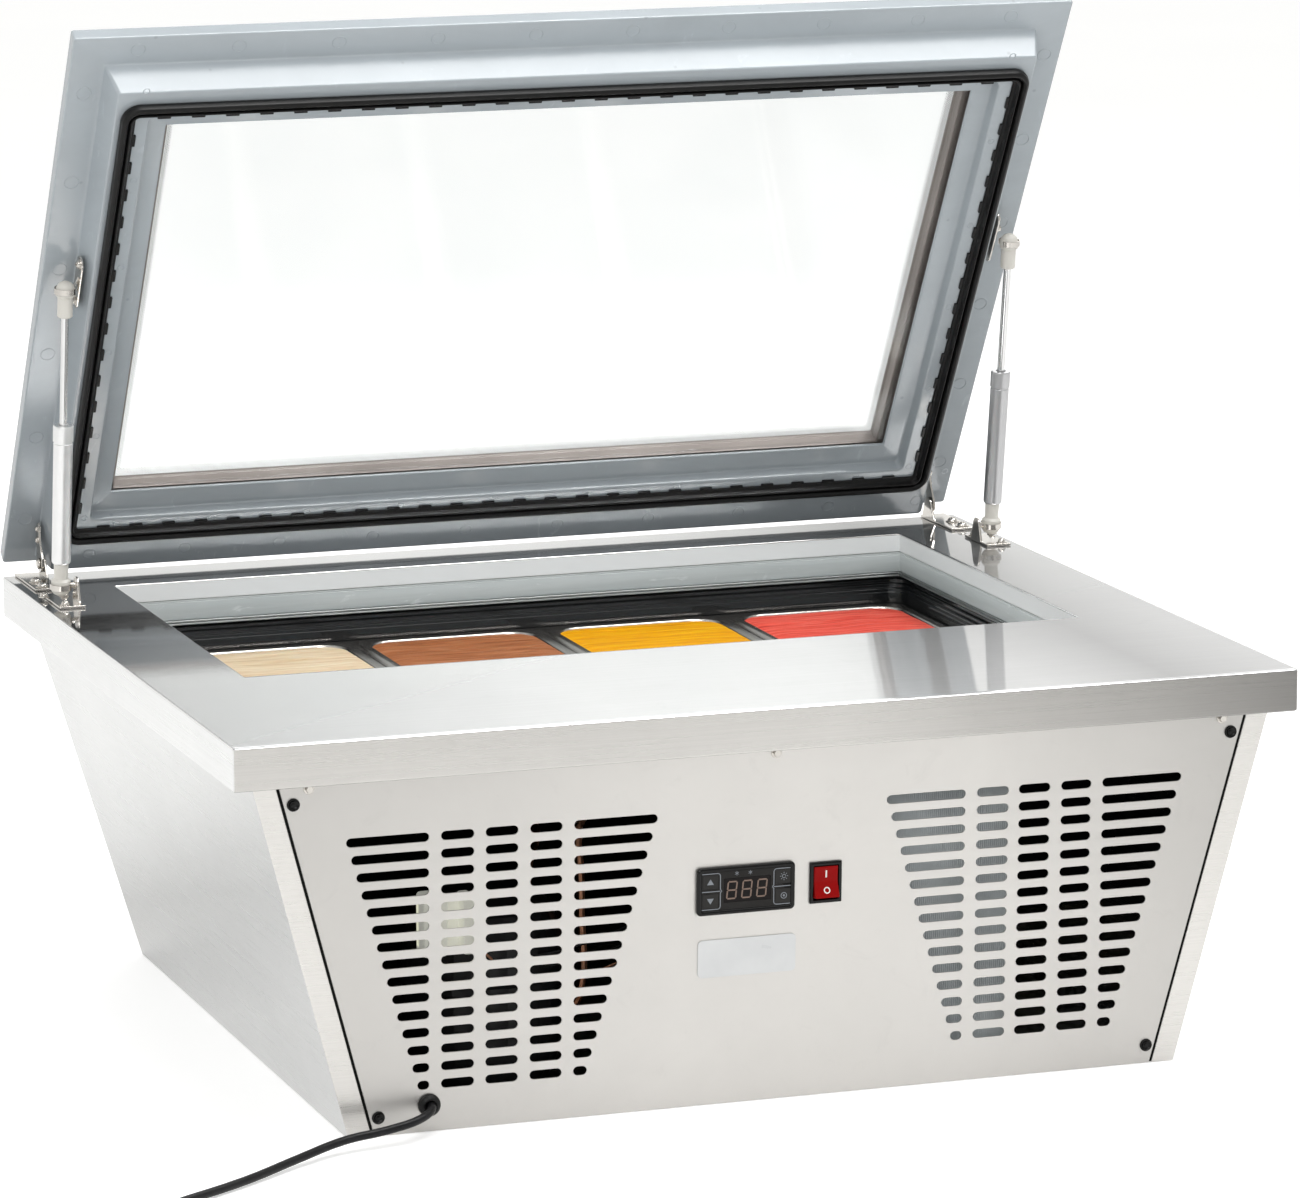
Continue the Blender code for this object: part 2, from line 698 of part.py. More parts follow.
def refrigerant_pipes():
    """Suction line into the foam and discharge line to the top of the condenser."""
    cx = COMPRESSOR_X
    cy = COMPRESSOR_Y
    side = COMPRESSOR_R + 0.0045
    suction = (
        (cx + side * 0.72, cy + side * 0.72, 0.070), (cx + side * 0.80, cy + side * 0.80, 0.082),
        (cx + side * 0.80, cy + side * 0.82, 0.150), (cx + 0.066, FOAM_FRONT - 0.022, 0.176),
        (cx + 0.066, FOAM_FRONT - 0.004, 0.180),
    )
    tube("suction_pipe", suction, SUCTION_R, COPPER)
    top = CONDENSER_Z[1] + 0.0012
    discharge = (
        (cx + side + 0.002, cy, 0.056), (cx + side + 0.010, cy, 0.066), (cx + side + 0.012, cy, 0.150),
        (cx + side + 0.022, cy + 0.012, 0.205), (0.0, -0.226, 0.222), (0.082, -0.262, 0.246),
        (0.097, -0.286, 0.247), (0.101, -0.294, 0.241), (0.101, -0.294, top),
    )
    tube("discharge_pipe", discharge, DISCHARGE_R, COPPER)


# ---------------------------------------------------------------- controls on the front panel
def controller():
    """Panel thermostat: a body behind the steel, a bezel in front, a window and four keys."""
    body_w = BEZEL_W - 0.0072
    body_h = BEZEL_H - 0.0082
    body = loft("controller_body", [
        ring_points(-body_w / 2, body_w / 2, -body_h / 2, body_h / 2, -0.058),
        ring_points(-body_w / 2, body_w / 2, -body_h / 2, body_h / 2, -GAP),
    ], CONTROL_BLACK)
    on_front(body, CONTROL_X, CONTROL_Z, 0)
    dx = DISPLAY_X - CONTROL_X
    keys = key_places()
    loops = [rectangle(0, 0, BEZEL_W, BEZEL_H), rectangle(dx, 0, DISPLAY_W + 2 * GAP, DISPLAY_H + 2 * GAP)]
    for x, z in keys.values():
        loops.append(rectangle(x - CONTROL_X, z - CONTROL_Z, KEY_W + 2 * GAP, KEY_H + 2 * GAP))
    bezel = sheet("controller_bezel", loops, BEZEL_OUT, CONTROL_BLACK)
    on_front(bezel, CONTROL_X, CONTROL_Z, GAP + BEZEL_OUT / 2)
    window = loft("display_window", [
        ring_points(-DISPLAY_W / 2, DISPLAY_W / 2, -DISPLAY_H / 2, DISPLAY_H / 2, 0),
        ring_points(-DISPLAY_W / 2, DISPLAY_W / 2, -DISPLAY_H / 2, DISPLAY_H / 2, BEZEL_OUT - 0.0010),
    ], DISPLAY)
    on_front(window, DISPLAY_X, CONTROL_Z, GAP)
    for name, (x, z) in keys.items():
        inset = 0.0006
        a = KEY_W / 2
        b = KEY_H / 2
        key = loft(name, [
            ring_points(-a, a, -b, b, 0),
            ring_points(-a, a, -b, b, BEZEL_OUT - 0.0014),
            ring_points(-a + inset, a - inset, -b + inset, b - inset, BEZEL_OUT - 0.0008),
        ], KEY_GREY)
        on_front(key, x, z, GAP + 0.0008)


def key_places():
    return {
        "key_up": (KEY_LEFT_X, CONTROL_Z + KEY_RISE),
        "key_down": (KEY_LEFT_X, CONTROL_Z - KEY_RISE),
        "key_light": (KEY_RIGHT_X, CONTROL_Z + KEY_RISE),
        "key_set": (KEY_RIGHT_X, CONTROL_Z - KEY_RISE),
    }


def rocker_switch():
    """Snap-in frame with a hollow body, and the rocker that tips in it about local X."""
    a = SWITCH_W / 2
    b = SWITCH_H / 2
    wall = 0.0026
    rear = 0.0165
    hole_a = a - wall
    hole_b = b - wall - 0.0002
    body_a = a - 0.0019
    body_b = b - 0.0024
    housing = loft("rocker_housing", [
        ring_points(-body_a, body_a, -body_b, body_b, -rear),
        ring_points(-body_a, body_a, -body_b, body_b, GAP),
        ring_points(-a, a, -b, b, GAP),
        ring_points(-a, a, -b, b, 0.0016),
        ring_points(-a + 0.0008, a - 0.0008, -b + 0.0008, b - 0.0008, 0.0024),
        ring_points(-hole_a, hole_a, -hole_b, hole_b, 0.0024),
        ring_points(-hole_a, hole_a, -hole_b, hole_b, -rear + 0.002),
    ], CONTROL_BLACK)
    on_front(housing, SWITCH_X, SWITCH_Z, 0)
    half = hole_a - 0.0005
    reach = hole_b - 0.0012
    side = [
        (-reach, -0.0045), (-reach + 0.0004, 0.0040), (-reach * 0.5, 0.0030), (0, 0.0022),
        (reach * 0.5, 0.0030), (reach - 0.0004, 0.0040), (reach, -0.0045), (0, -0.0075),
    ]
    rings = []
    for x in (-half, half):
        rings.append([Vector((x, y, z)) for y, z in side])
    rocker = loft("rocker", rings, ROCKER_RED)
    on_front(rocker, SWITCH_X, SWITCH_Z, 0)
    rocker.rotation_euler.x -= ROCKER_LEAN


def badge_plate():
    a = BADGE_W / 2
    b = BADGE_H / 2
    made = loft("badge_plate", [
        ring_points(-a, a, -b, b, 0, 0.003, 3),
        ring_points(-a, a, -b, b, 0.0008, 0.003, 3),
    ], BADGE_GREY)
    on_front(made, BADGE_X, BADGE_Z, GAP)


def cable_entry():
    """Rubber grommet in the panel, and the cord that leaves through it to the left."""
    bore = CORD_R + 0.0007
    profile = (
        (bore, -0.006), (bore, 0.004), (0.0062, 0.004), (0.0085, 0.0025), (0.0085, GAP),
        (0.0064, GAP), (0.0064, -SHEET - GAP), (0.0080, -SHEET - GAP), (0.0080, -0.005), (0.0062, -0.006),
    )
    grommet = lathe("cable_grommet", profile, SEAL_RUBBER, 20, ring=True)
    on_front(grommet, CORD_X, CORD_Z, 0)
    straight = [front_point(CORD_X, CORD_Z, out) for out in (-0.024, -0.016, -0.008, 0.0, 0.008)]
    path = (
        *straight, (-0.274, -0.343, 0.0165), (-0.300, -0.350, 0.0125), (-0.335, -0.357, 0.0100),
        (-0.375, -0.378, 0.0062), (-0.425, -0.413, 0.0040), (-0.484, -0.450, 0.0040),
    )
    tube("power_cord", path, CORD_R, CABLE_BLACK)


# ---------------------------------------------------------------- lid
def lid_y(s):
    """Local y, in the shut lid's frame about the pivot, of a distance s forward of its rear edge."""
    return LID_REAR - PIVOT.y - s


def lid_z(n):
    """Local z of a depth n under the flange."""
    return LID_UNDER - PIVOT.z - n


def lid_ring(half, near, far, n, radius=0.0, steps=0):
    return ring_points(-half, half, lid_y(far), lid_y(near), lid_z(n), radius, steps)


def lid_frame(parent):
    """Moulded frame: flange, raised inner frame, glazing lip and rebate."""
    top = -LID_TOP
    half, near, far = GLAZING
    rebate = (half + GAP, near - GAP, far + GAP)
    rings = [
        lid_ring(LID_HALF_W, 0, LID_LENGTH, 0),
        lid_ring(0.380, 0.005, 0.4965, 0),
        lid_ring(0.3750, 0.0110, 0.4895, PLATEAU - 0.002),
        lid_ring(0.3730, 0.0130, 0.4875, PLATEAU),
        lid_ring(0.3480, 0.0615, 0.4650, PLATEAU),
        lid_ring(0.3465, 0.0630, 0.4635, PLATEAU - 0.0015),
        lid_ring(0.3447, 0.0655, 0.4610, LIP_DEPTH + 2 * LIP_T),
        lid_ring(*LIP_EDGE, LIP_DEPTH + LIP_T),
        lid_ring(*LIP_EDGE, LIP_DEPTH),
        lid_ring(*rebate, LIP_DEPTH),
        lid_ring(*rebate, top),
        lid_ring(LID_HALF_W - 0.003, 0.003, LID_LENGTH - 0.003, top),
        lid_ring(LID_HALF_W, 0, LID_LENGTH, top + 0.003),
    ]
    place(loft("lid_frame", rings, LID_PLASTIC, closed=True), parent)


def lid_glazing(parent):
    """Two panes held apart by a spacer bar, lying on the glazing lip."""
    half, near, far = GLAZING
    inner_low = LIP_DEPTH - GAP
    inner_high = inner_low - GLASS_T
    spacer_low = inner_high - GAP
    spacer_high = spacer_low - SPACER_T
    outer_low = spacer_high - GAP
    outer_high = outer_low - GLASS_T
    for name, low, high in (("lid_glass_inner", inner_low, inner_high), ("lid_glass_outer", outer_low, outer_high)):
        rings = [lid_ring(half, near, far, low), lid_ring(half, near, far, high)]
        place(loft(name, rings, GLASS), parent)
    clear = (half - SPACER_W, near + SPACER_W, far - SPACER_W)
    rings = [
        lid_ring(half, near, far, spacer_low), lid_ring(half, near, far, spacer_high),
        lid_ring(*clear, spacer_high), lid_ring(*clear, spacer_low),
    ]
    place(loft("lid_glass_spacer", rings, BRONZE, closed=True), parent)


def lid_gasket(parent):
    """Soft bead round the raised frame that meets the worktop when the lid is shut."""
    n = PLATEAU + GAP
    rings = []
    section = ((0.0, 0.0), (0.0004, 0.0035), (0.0022, 0.0090), (0.0080, 0.0090), (0.0110, 0.0035), (0.0118, 0.0))
    for inset, depth in section:
        rings.append(lid_ring(0.368 - inset, 0.0422 + inset, 0.4790 - inset, n + depth, 0.014 - inset, 4))
    place(loft("lid_gasket", rings, SEAL_RUBBER, closed=True), parent)


def arch(y0, y1, z_foot, cy, cz, radius):
    """Outline of an ear: straight from its foot, round about its pin."""
    points = [(y0, z_foot), (y1, z_foot)]
    up = 1 if cz > z_foot else -1
    steps = 8
    for k in range(steps + 1):
        angle = pi * k / steps
        points.append((cy + radius * cos(angle), cz + up * radius * sin(angle)))
    return points


def folded_plate(name, side, ear_x, foot_y, foot_z, outline, parent=None):
    """Steel foot with an upright ear along its inner edge. The outline is the ear's, as (y, z) pairs."""
    edges = sorted((side * ear_x, side * FOOT_X))
    foot = box(name, edges, foot_y, foot_z, CHROME)
    rings = []
    for x in (ear_x, ear_x + EAR_T):
        rings.append([Vector((side * x, y, z)) for y, z in outline])
    ear = loft(name + "_ear", rings, CHROME)
    place(foot, parent)
    place(ear, parent)
    return boolean(foot, ear, "UNION")


def hinge(side, tag, lid):
    """Fixed half on the worktop with its riveted pin, and the half on the lid that turns on the pin."""
    low = WORKTOP_H + GAP
    outline = arch(PIVOT.y - 0.016, PIVOT.y + 0.012, low, PIVOT.y, PIVOT.z, 0.0075)
    base = folded_plate("hinge_base_" + tag, side, EAR_X, (0.272, 0.342), (low, low + EAR_T), outline)
    head = EAR_T / 2 + EAR_T + 2 * GAP
    profile = ((PIN_R, 0), (PIN_R, head), (PIN_R * 1.5, head), (PIN_R * 1.5, head + 0.0012), (PIN_R, head + 0.002))
    pin = lathe("hinge_pin_" + tag, profile, CHROME, 24)
    place(pin, None, (side * (EAR_X + EAR_T / 2), PIVOT.y, PIVOT.z), (0, side * pi / 2, 0))
    boolean(base, pin, "UNION")

    flange = lid_z(GAP)
    leaf_x = EAR_X + EAR_T + GAP
    outline = arch(-0.012, 0.013, flange, 0, 0, 0.0075)
    leaf = folded_plate("hinge_leaf_" + tag, side, leaf_x, (-0.036, 0.015), (flange - EAR_T, flange), outline, lid)
    drill = lathe("hinge_drill_" + tag, ((PIN_BORE_R, -0.01), (PIN_BORE_R, 0.01)), CHROME, 24)
    place(drill, lid, (side * leaf_x, 0, 0), (0, pi / 2, 0))
    boolean(leaf, drill, "DIFFERENCE")


def strut_foot(side, tag):
    """Plate on the worktop with a ball stud on its ear."""
    low = WORKTOP_H + GAP
    y = BALL_LOW.y
    z = BALL_LOW.z
    outline = arch(y - 0.011, y + 0.011, low, y, z, 0.0065)
    foot = folded_plate("strut_foot_" + tag, side, EAR_X, (y - 0.025, y + 0.024), (low, low + EAR_T), outline)
    profile = [(0.0022, -0.0127)]
    for step in range(7):
        angle = radians(-60 + 24 * step)
        profile.append((BALL_R * cos(angle), BALL_R * sin(angle)))
    stud = lathe("strut_stud_" + tag, profile, CHROME, 20)
    place(stud, None, (side * STRUT_X, y, z), (0, side * pi / 2, 0))
    boolean(foot, stud, "UNION")


def open_strut():
    """Length of a strut with the lid open, and its lean from upright."""
    y = lid_y(BALL_HIGH_S)
    z = lid_z(BALL_HIGH_N)
    dy = PIVOT.y + y * cos(LID_OPEN) + z * sin(LID_OPEN) - BALL_LOW.y
    dz = PIVOT.z - y * sin(LID_OPEN) + z * cos(LID_OPEN) - BALL_LOW.z
    return hypot(dy, dz), atan2(-dy, dz)


def strut(side, tag):
    """Tube with a cup on the lower ball, and the rod that slides in it with its own cup and stud."""
    length, lean = open_strut()
    swing = empty("strut_swing_" + tag, (side * STRUT_X, BALL_LOW.y, BALL_LOW.z), (lean, 0, 0))
    across = (0, side * pi / 2, 0)
    neck = 0.0050
    profile = (
        (neck, 0.0062), (neck, 0.0150), (TUBE_R - 0.001, 0.0155), (TUBE_R, 0.0165),
        (TUBE_R, TUBE_END - 0.001), (TUBE_R - 0.001, TUBE_END), (BORE_R, TUBE_END), (BORE_R, 0.046),
    )
    body = place(lathe("strut_tube_" + tag, profile, ALUMINIUM, 20), swing)
    shell = (
        (SOCKET_R * 0.6, SOCKET_HALF), (SOCKET_R, SOCKET_HALF - 0.003), (SOCKET_R, -SOCKET_HALF + 0.001),
        (SOCKET_R - 0.001, -SOCKET_HALF),
    )
    pocket = ((POCKET_R, -SOCKET_HALF), (POCKET_R, BALL_R + GAP))
    cup = lathe("strut_cup_low_" + tag, shell + pocket, SOCKET_BEIGE, 20)
    place(cup, swing, (0, 0, 0), across)
    boolean(body, cup, "UNION")

    profile = ((ROD_R, TUBE_END - 0.015), (ROD_R, length - 0.016), (neck, length - 0.015), (neck, length - 0.006))
    rod = place(lathe("strut_rod_" + tag, profile, CHROME, 20), swing)
    stud = ((0.0022, -SOCKET_HALF), (0.0022, BRACKET_X + EAR_T + 0.0004 - STRUT_X))
    cup = lathe("strut_cup_high_" + tag, shell + stud, SOCKET_BEIGE, 20)
    place(cup, swing, (0, 0, length), across)
    boolean(rod, cup, "UNION")


def strut_bracket(side, tag, lid):
    """Plate under the lid's flange whose ear carries the strut's upper end."""
    flange = lid_z(GAP)
    y = lid_y(BALL_HIGH_S)
    z = lid_z(BALL_HIGH_N)
    outline = arch(y - 0.012, y + 0.012, flange, y, z, 0.0075)
    folded_plate("strut_bracket_" + tag, side, BRACKET_X, (y - 0.020, y + 0.020), (flange - EAR_T, flange),
                 outline, lid)


# ---------------------------------------------------------------- pans
def pan_ring(index, inset, z, radius):
    x = pan_x(index)
    half = PAN_W / 2 - inset
    return ring_points(x - half, x + half, PAN_FRONT + inset, PAN_REAR - inset, z, radius, 3)


def pan(index):
    """Deep-drawn pan that hangs by its rim, and the ice cream in it."""
    top = PAN_RIM_TOP
    under = top - PAN_SHEET
    low = top - PAN_DEPTH
    r = PAN_CORNER
    t = PAN_SHEET
    rim = PAN_RIM
    taper = 0.009
    rings = [
        pan_ring(index, rim + taper + 0.006, low, r - 0.006), pan_ring(index, rim + taper, low + 0.006, r),
        pan_ring(index, rim, under, r), pan_ring(index, 0, under, 0.010), pan_ring(index, 0, top, 0.010),
        pan_ring(index, rim - 0.0005, top, r), pan_ring(index, rim + t, top - 0.003, r - t),
        pan_ring(index, rim + taper + t, low + 0.007, r - t),
        pan_ring(index, rim + taper + 0.006 + t, low + t, r - 0.006 - t),
    ]
    loft(f"pan_{index + 1}", rings, PAN_STEEL, smooth=True)
    gap = t + GAP + 0.0001
    rings = [
        pan_ring(index, rim + taper + 0.006 + gap, low + t + GAP, r - 0.006 - gap),
        pan_ring(index, rim + taper + gap, low + 0.0075, r - gap),
        pan_ring(index, rim + gap + 0.0003, top - 0.0055, r - gap),
        pan_ring(index, rim + gap + 0.004, top - 0.0030, r - gap - 0.004),
    ]
    loft(f"ice_cream_{index + 1}", rings, FLAVOURS[index], smooth=True)


def worktop_core():
    """Board that stiffens the worktop, between its top and the flange under its rim."""
    inset = SHEET + GAP
    w = WORKTOP_W / 2 - inset
    d = WORKTOP_D / 2 - inset
    low = RIM_UNDER + 0.0028
    high = WORKTOP_H - SHEET - GAP
    rings = [
        ring_points(-w, w, -d, d, low), ring_points(-w, w, -d, d, high),
        opening_ring(0.0038, high), opening_ring(0.0038, low),
    ]
    loft("worktop_core", rings, FOAM, closed=True)


def main():
    clear_scene()
    base_pan()
    side_panel("left_side_panel", -1)
    side_panel("right_side_panel", 1)
    rear_panel()
    front_panel()
    worktop()
    worktop_core()
    throat_frame()
    throat_trim()
    inner_liner()
    insulation_foam()
    pan_rack()
    evaporator_coil()
    compressor()
    terminal_box()
    condenser()
    fan_shroud()
    fan_blade()
    fan_motor()
    refrigerant_pipes()
    controller()
    rocker_switch()
    badge_plate()
    cable_entry()
    lid = empty("lid_axis", PIVOT, (-LID_OPEN, 0, 0))
    lid_frame(lid)
    lid_glazing(lid)
    lid_gasket(lid)
    for side, tag in ((-1, "left"), (1, "right")):
        hinge(side, tag, lid)
        strut_foot(side, tag)
        strut(side, tag)
        strut_bracket(side, tag, lid)
    for index in range(PAN_COUNT):
        pan(index)


main()
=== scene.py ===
"""The looks of a countertop ice-cream chest freezer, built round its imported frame.

Metres, in the frame's own axes: +X to the right, +Y to the rear, +Z up. The lid's pieces are built in the
frame of the shut lid about its pivot, and the front's in the plane of the front panel.
"""

import json
from math import atan2, cos, hypot, pi, radians, sin, sqrt

import bmesh
import bpy
from mathutils import Matrix, Vector, noise

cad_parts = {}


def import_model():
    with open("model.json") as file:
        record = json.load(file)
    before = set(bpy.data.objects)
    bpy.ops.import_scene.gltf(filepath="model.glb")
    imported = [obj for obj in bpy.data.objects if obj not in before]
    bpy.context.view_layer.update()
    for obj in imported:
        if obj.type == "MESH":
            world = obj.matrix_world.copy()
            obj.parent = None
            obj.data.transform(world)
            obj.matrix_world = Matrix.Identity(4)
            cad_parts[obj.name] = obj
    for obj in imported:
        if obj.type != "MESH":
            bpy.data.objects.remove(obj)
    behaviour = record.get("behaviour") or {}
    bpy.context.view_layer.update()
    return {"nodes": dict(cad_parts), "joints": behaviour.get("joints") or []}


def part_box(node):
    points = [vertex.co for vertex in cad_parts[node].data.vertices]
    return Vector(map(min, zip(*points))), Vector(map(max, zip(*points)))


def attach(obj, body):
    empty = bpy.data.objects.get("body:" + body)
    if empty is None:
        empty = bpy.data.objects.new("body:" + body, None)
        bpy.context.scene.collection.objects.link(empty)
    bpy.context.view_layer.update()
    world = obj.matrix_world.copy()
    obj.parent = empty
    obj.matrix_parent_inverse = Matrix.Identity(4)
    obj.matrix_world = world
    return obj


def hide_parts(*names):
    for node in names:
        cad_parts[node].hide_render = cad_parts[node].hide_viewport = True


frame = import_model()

JOINTS = {joint["name"]: joint for joint in frame["joints"]}
UPRIGHT = Matrix.Identity(4)
SHARP_DEG = 38                            # edges sharper than this stay sharp
WELD_DISTANCE = 0.00002
SIDES = (("left", -1), ("right", 1))


def local_box(node, matrix):
    """Lowest and highest corner of a CAD node in the frame that matrix stands for."""
    back = matrix.inverted()
    points = [back @ vertex.co for vertex in frame["nodes"][node].data.vertices]
    low = Vector([min(point[axis] for point in points) for axis in range(3)])
    high = Vector([max(point[axis] for point in points) for axis in range(3)])
    return low, high


def on_front(x, y, z=0.0):
    """Matrix of a place in the plane of the front panel, z towards the user."""
    return FRONT @ Matrix.Translation((x, y, z))


def front_span(node):
    """Centre, width and height of a CAD node in the plane of the front panel."""
    low, high = local_box(node, FRONT)
    return (low.x + high.x) / 2, (low.y + high.y) / 2, high.x - low.x, high.y - low.y


# ------------------------------------------------ dimensions, from the frame where it has any
TOP_LOW, TOP_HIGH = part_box("worktop")
HALF_W = TOP_HIGH.x
HALF_D = TOP_HIGH.y
TOP = TOP_HIGH.z
RIM_UNDER = TOP_LOW.z
SHEET = 0.0012
GAP = 0.0003

PIVOT = Vector(JOINTS["lid_hinge"]["pos_m"])
LID_OPEN = radians(-JOINTS["lid_hinge"]["range_deg"][0])
LID = Matrix.Translation(PIVOT) @ Matrix.Rotation(-LID_OPEN, 4, "X")
LID_LOW, LID_HIGH = local_box("lid_frame", LID)
LID_TOP = 0.012
FLANGE_Z = LID_HIGH.z - LID_TOP
PLATEAU = FLANGE_Z - LID_LOW.z
LIP_EDGE = (0.3298, 0.0818, 0.4487)
LIP_DEPTH = 0.0125

PRESS = Vector(JOINTS["key_up_press"]["axis"])
TILT = atan2(PRESS.z, PRESS.y)
PANEL_LOW, PANEL_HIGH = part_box("front_panel")
FRONT_Y = PANEL_LOW.y + PANEL_HIGH.z * PRESS.z / PRESS.y
FRONT = Matrix.Translation((0, FRONT_Y, 0)) @ Matrix.Rotation(pi / 2 + TILT, 4, "X")
PANEL_TOP = local_box("front_panel", FRONT)[1].y
PANEL_TOP_HALF = PANEL_HIGH.x
PANEL_BOTTOM_HALF = 0.3029

OPENING = (0.3346, -0.1033, 0.2757)       # half width, front and rear edge of the serving opening
SLOT_ROWS = 15
SLOT_TOP = 0.2195
SLOT_PITCH = 0.01318
SLOT_HALF = 0.0033
SLOT_GAP = 0.0090
LEFT_SLOTS = ((-0.2527, -0.2279), (-0.2192, -0.1947), (-0.1856, -0.1613))
RIGHT_SLOTS = ((0.1599, 0.1851), (0.1932, 0.2181), (0.2270, 0.2509))
SLOT_OUTER = (0.3234, 0.2705)             # outer ends of the first and last rows
SLOT_INNER = (0.0888, 0.1420)
SCREW_HOLES = ((0.3624, 0.2508), (0.3000, 0.0138))
RIM_SCREWS = (-0.351, 0.002, 0.355)
BASE_TOP = TOP + 0.0021                   # where the screws of hinge bases and strut feet sit


# ------------------------------------------------ mesh building
def to_object(name, data, matrix=UPRIGHT):
    """Links data to the scene as an object."""
    made = bpy.data.objects.new(name, data)
    bpy.context.scene.collection.objects.link(made)
    made.matrix_world = matrix
    return made


def solid(name, mesh, matrix=UPRIGHT, angle=SHARP_DEG):
    """Links a bmesh as an object, smooth except at edges sharper than the angle."""
    bmesh.ops.recalc_face_normals(mesh, faces=mesh.faces)
    data = bpy.data.meshes.new(name)
    mesh.to_mesh(data)
    mesh.free()
    data.shade_smooth()
    data.set_sharp_from_angle(angle=radians(angle))
    return weigh(to_object(name, data, matrix))


def weigh(obj):
    """Keeps wide flat faces flat beside rounded edges."""
    step = obj.modifiers.new("weighted", "WEIGHTED_NORMAL")
    step.keep_sharp = True
    return obj


def weld_points(obj):
    """Joins the loose corners of a CAD node's faces."""
    step = obj.modifiers.new("weld", "WELD")
    step.merge_threshold = WELD_DISTANCE


def round_edges(node, width, segments=2):
    """Rounds the edges of a CAD node where its faces meet at more than 40 degrees."""
    obj = frame["nodes"][node]
    weld_points(obj)
    step = obj.modifiers.new("bevel", "BEVEL")
    step.width = width
    step.segments = segments
    step.limit_method = "ANGLE"
    step.angle_limit = radians(40)
    obj.data.shade_smooth()
    weigh(obj)


def ring(x0, x1, y0, y1, z, radius=0.0, steps=0):
    """A rectangle seen from above, its corners rounded in equal steps."""
    if steps == 0:
        return [Vector((x0, y0, z)), Vector((x1, y0, z)), Vector((x1, y1, z)), Vector((x0, y1, z))]
    points = []
    for cx, cy, start in ((x1, y0, -90), (x1, y1, 0), (x0, y1, 90), (x0, y0, 180)):
        mx = cx - radius if cx == x1 else cx + radius
        my = cy - radius if cy == y1 else cy + radius
        for step in range(steps + 1):
            angle = radians(start + 90 * step / steps)
            points.append(Vector((mx + radius * cos(angle), my + radius * sin(angle), z)))
    return points


def add_loops(mesh, rings):
    """Adds the rings' points to a bmesh."""
    return [[mesh.verts.new(point) for point in points] for points in rings]


def bridge(mesh, pairs):
    """Adds a band of faces between the two loops of each pair."""
    for low, high in pairs:
        for i in range(len(low)):
            j = (i + 1) % len(low)
            mesh.faces.new((low[i], low[j], high[j], high[i]))


def join_rings(mesh, rings, closed=False):
    """Adds faces between rings of equal count. A closed loft is a frame; an open one is capped."""
    loops = add_loops(mesh, rings)
    pairs = list(zip(loops, loops[1:]))
    if closed:
        pairs.append((loops[-1], loops[0]))
    else:
        mesh.faces.new(loops[0])
        mesh.faces.new(loops[-1])
    bridge(mesh, pairs)


def loft(name, rings, matrix=UPRIGHT, closed=False, angle=SHARP_DEG):
    """A piece made of rings in order."""
    mesh = bmesh.new()
    join_rings(mesh, rings, closed)
    return solid(name, mesh, matrix, angle)


def filleted(section, size, steps=4, closed=True):
    """Rounds the corners of a section. Each point is a tuple whose last two numbers are depth and corner
    radius; each corner is cut back by size, or by less where the section is short."""
    count = len(section)
    found = []
    for i, point in enumerate(section):
        if not closed and i in (0, count - 1):
            found.append(point)
            continue
        before = section[i - 1]
        after = section[(i + 1) % count]
        cuts = []
        for other in (before, after):
            reach = max(hypot(other[0] - point[0], other[-2] - point[-2]), 1e-9)
            cuts.append((min(size, 0.45 * reach) / reach, other))
        for step in range(steps + 1):
            t = step / steps
            weights = ((1 - t) ** 2 * cuts[0][0], t ** 2 * cuts[1][0])
            mixed = []
            for axis, value in enumerate(point):
                shift = weights[0] * (before[axis] - value) + weights[1] * (after[axis] - value)
                mixed.append(value + shift)
            found.append(tuple(mixed))
    return found


def turn(sides):
    """Equal angles round a full turn."""
    return [2 * pi * k / sides for k in range(sides)]


def lathe(name, profile, matrix=UPRIGHT, sides=32, closed=False, angle=SHARP_DEG):
    """Turns (radius, height) pairs about local Z."""
    rings = []
    for radius, height in profile:
        rings.append([Vector((radius * cos(a), radius * sin(a), height)) for a in turn(sides)])
    return loft(name, rings, matrix, closed, angle)


def rounded_rect(cx, cy, width, height, radius, steps=4):
    """Flat outline of a rectangle with rounded corners."""
    points = ring(cx - width / 2, cx + width / 2, cy - height / 2, cy + height / 2, 0, radius, steps)
    return [(point.x, point.y) for point in points]


def circle(cx, cy, radius, sides=24):
    """Flat outline of a circle."""
    return [(cx + radius * cos(a), cy + radius * sin(a)) for a in turn(sides)]


def to_mesh(obj, angle=SHARP_DEG):
    """Swaps a curve object for the mesh it draws, its double points joined."""
    graph = bpy.context.evaluated_depsgraph_get()
    data = bpy.data.meshes.new_from_object(obj.evaluated_get(graph))
    name = obj.name
    matrix = obj.matrix_world.copy()
    curve = obj.data
    bpy.data.objects.remove(obj)
    bpy.data.curves.remove(curve)
    mesh = bmesh.new()
    mesh.from_mesh(data)
    bpy.data.meshes.remove(data)
    bmesh.ops.remove_doubles(mesh, verts=mesh.verts, dist=1e-6)
    return solid(name, mesh, matrix, angle)


def plate(name, loops, thickness, matrix=UPRIGHT, edge=0.0, steps=1):
    """A flat plate with holes, its face at local z = 0 and its edges rounded by edge."""
    data = bpy.data.curves.new(name, "CURVE")
    data.dimensions = "2D"
    data.fill_mode = "BOTH"
    data.extrude = thickness / 2 - edge
    data.bevel_depth = edge
    data.bevel_resolution = steps
    data.offset = -edge
    for loop in loops:
        spline = data.splines.new("POLY")
        spline.points.add(len(loop) - 1)
        for point, (x, y) in zip(spline.points, loop):
            point.co = (x, y, 0, 1)
        spline.use_cyclic_u = True
    made = to_object(name, data, matrix @ Matrix.Translation((0, 0, -thickness / 2)))
    return to_mesh(made)


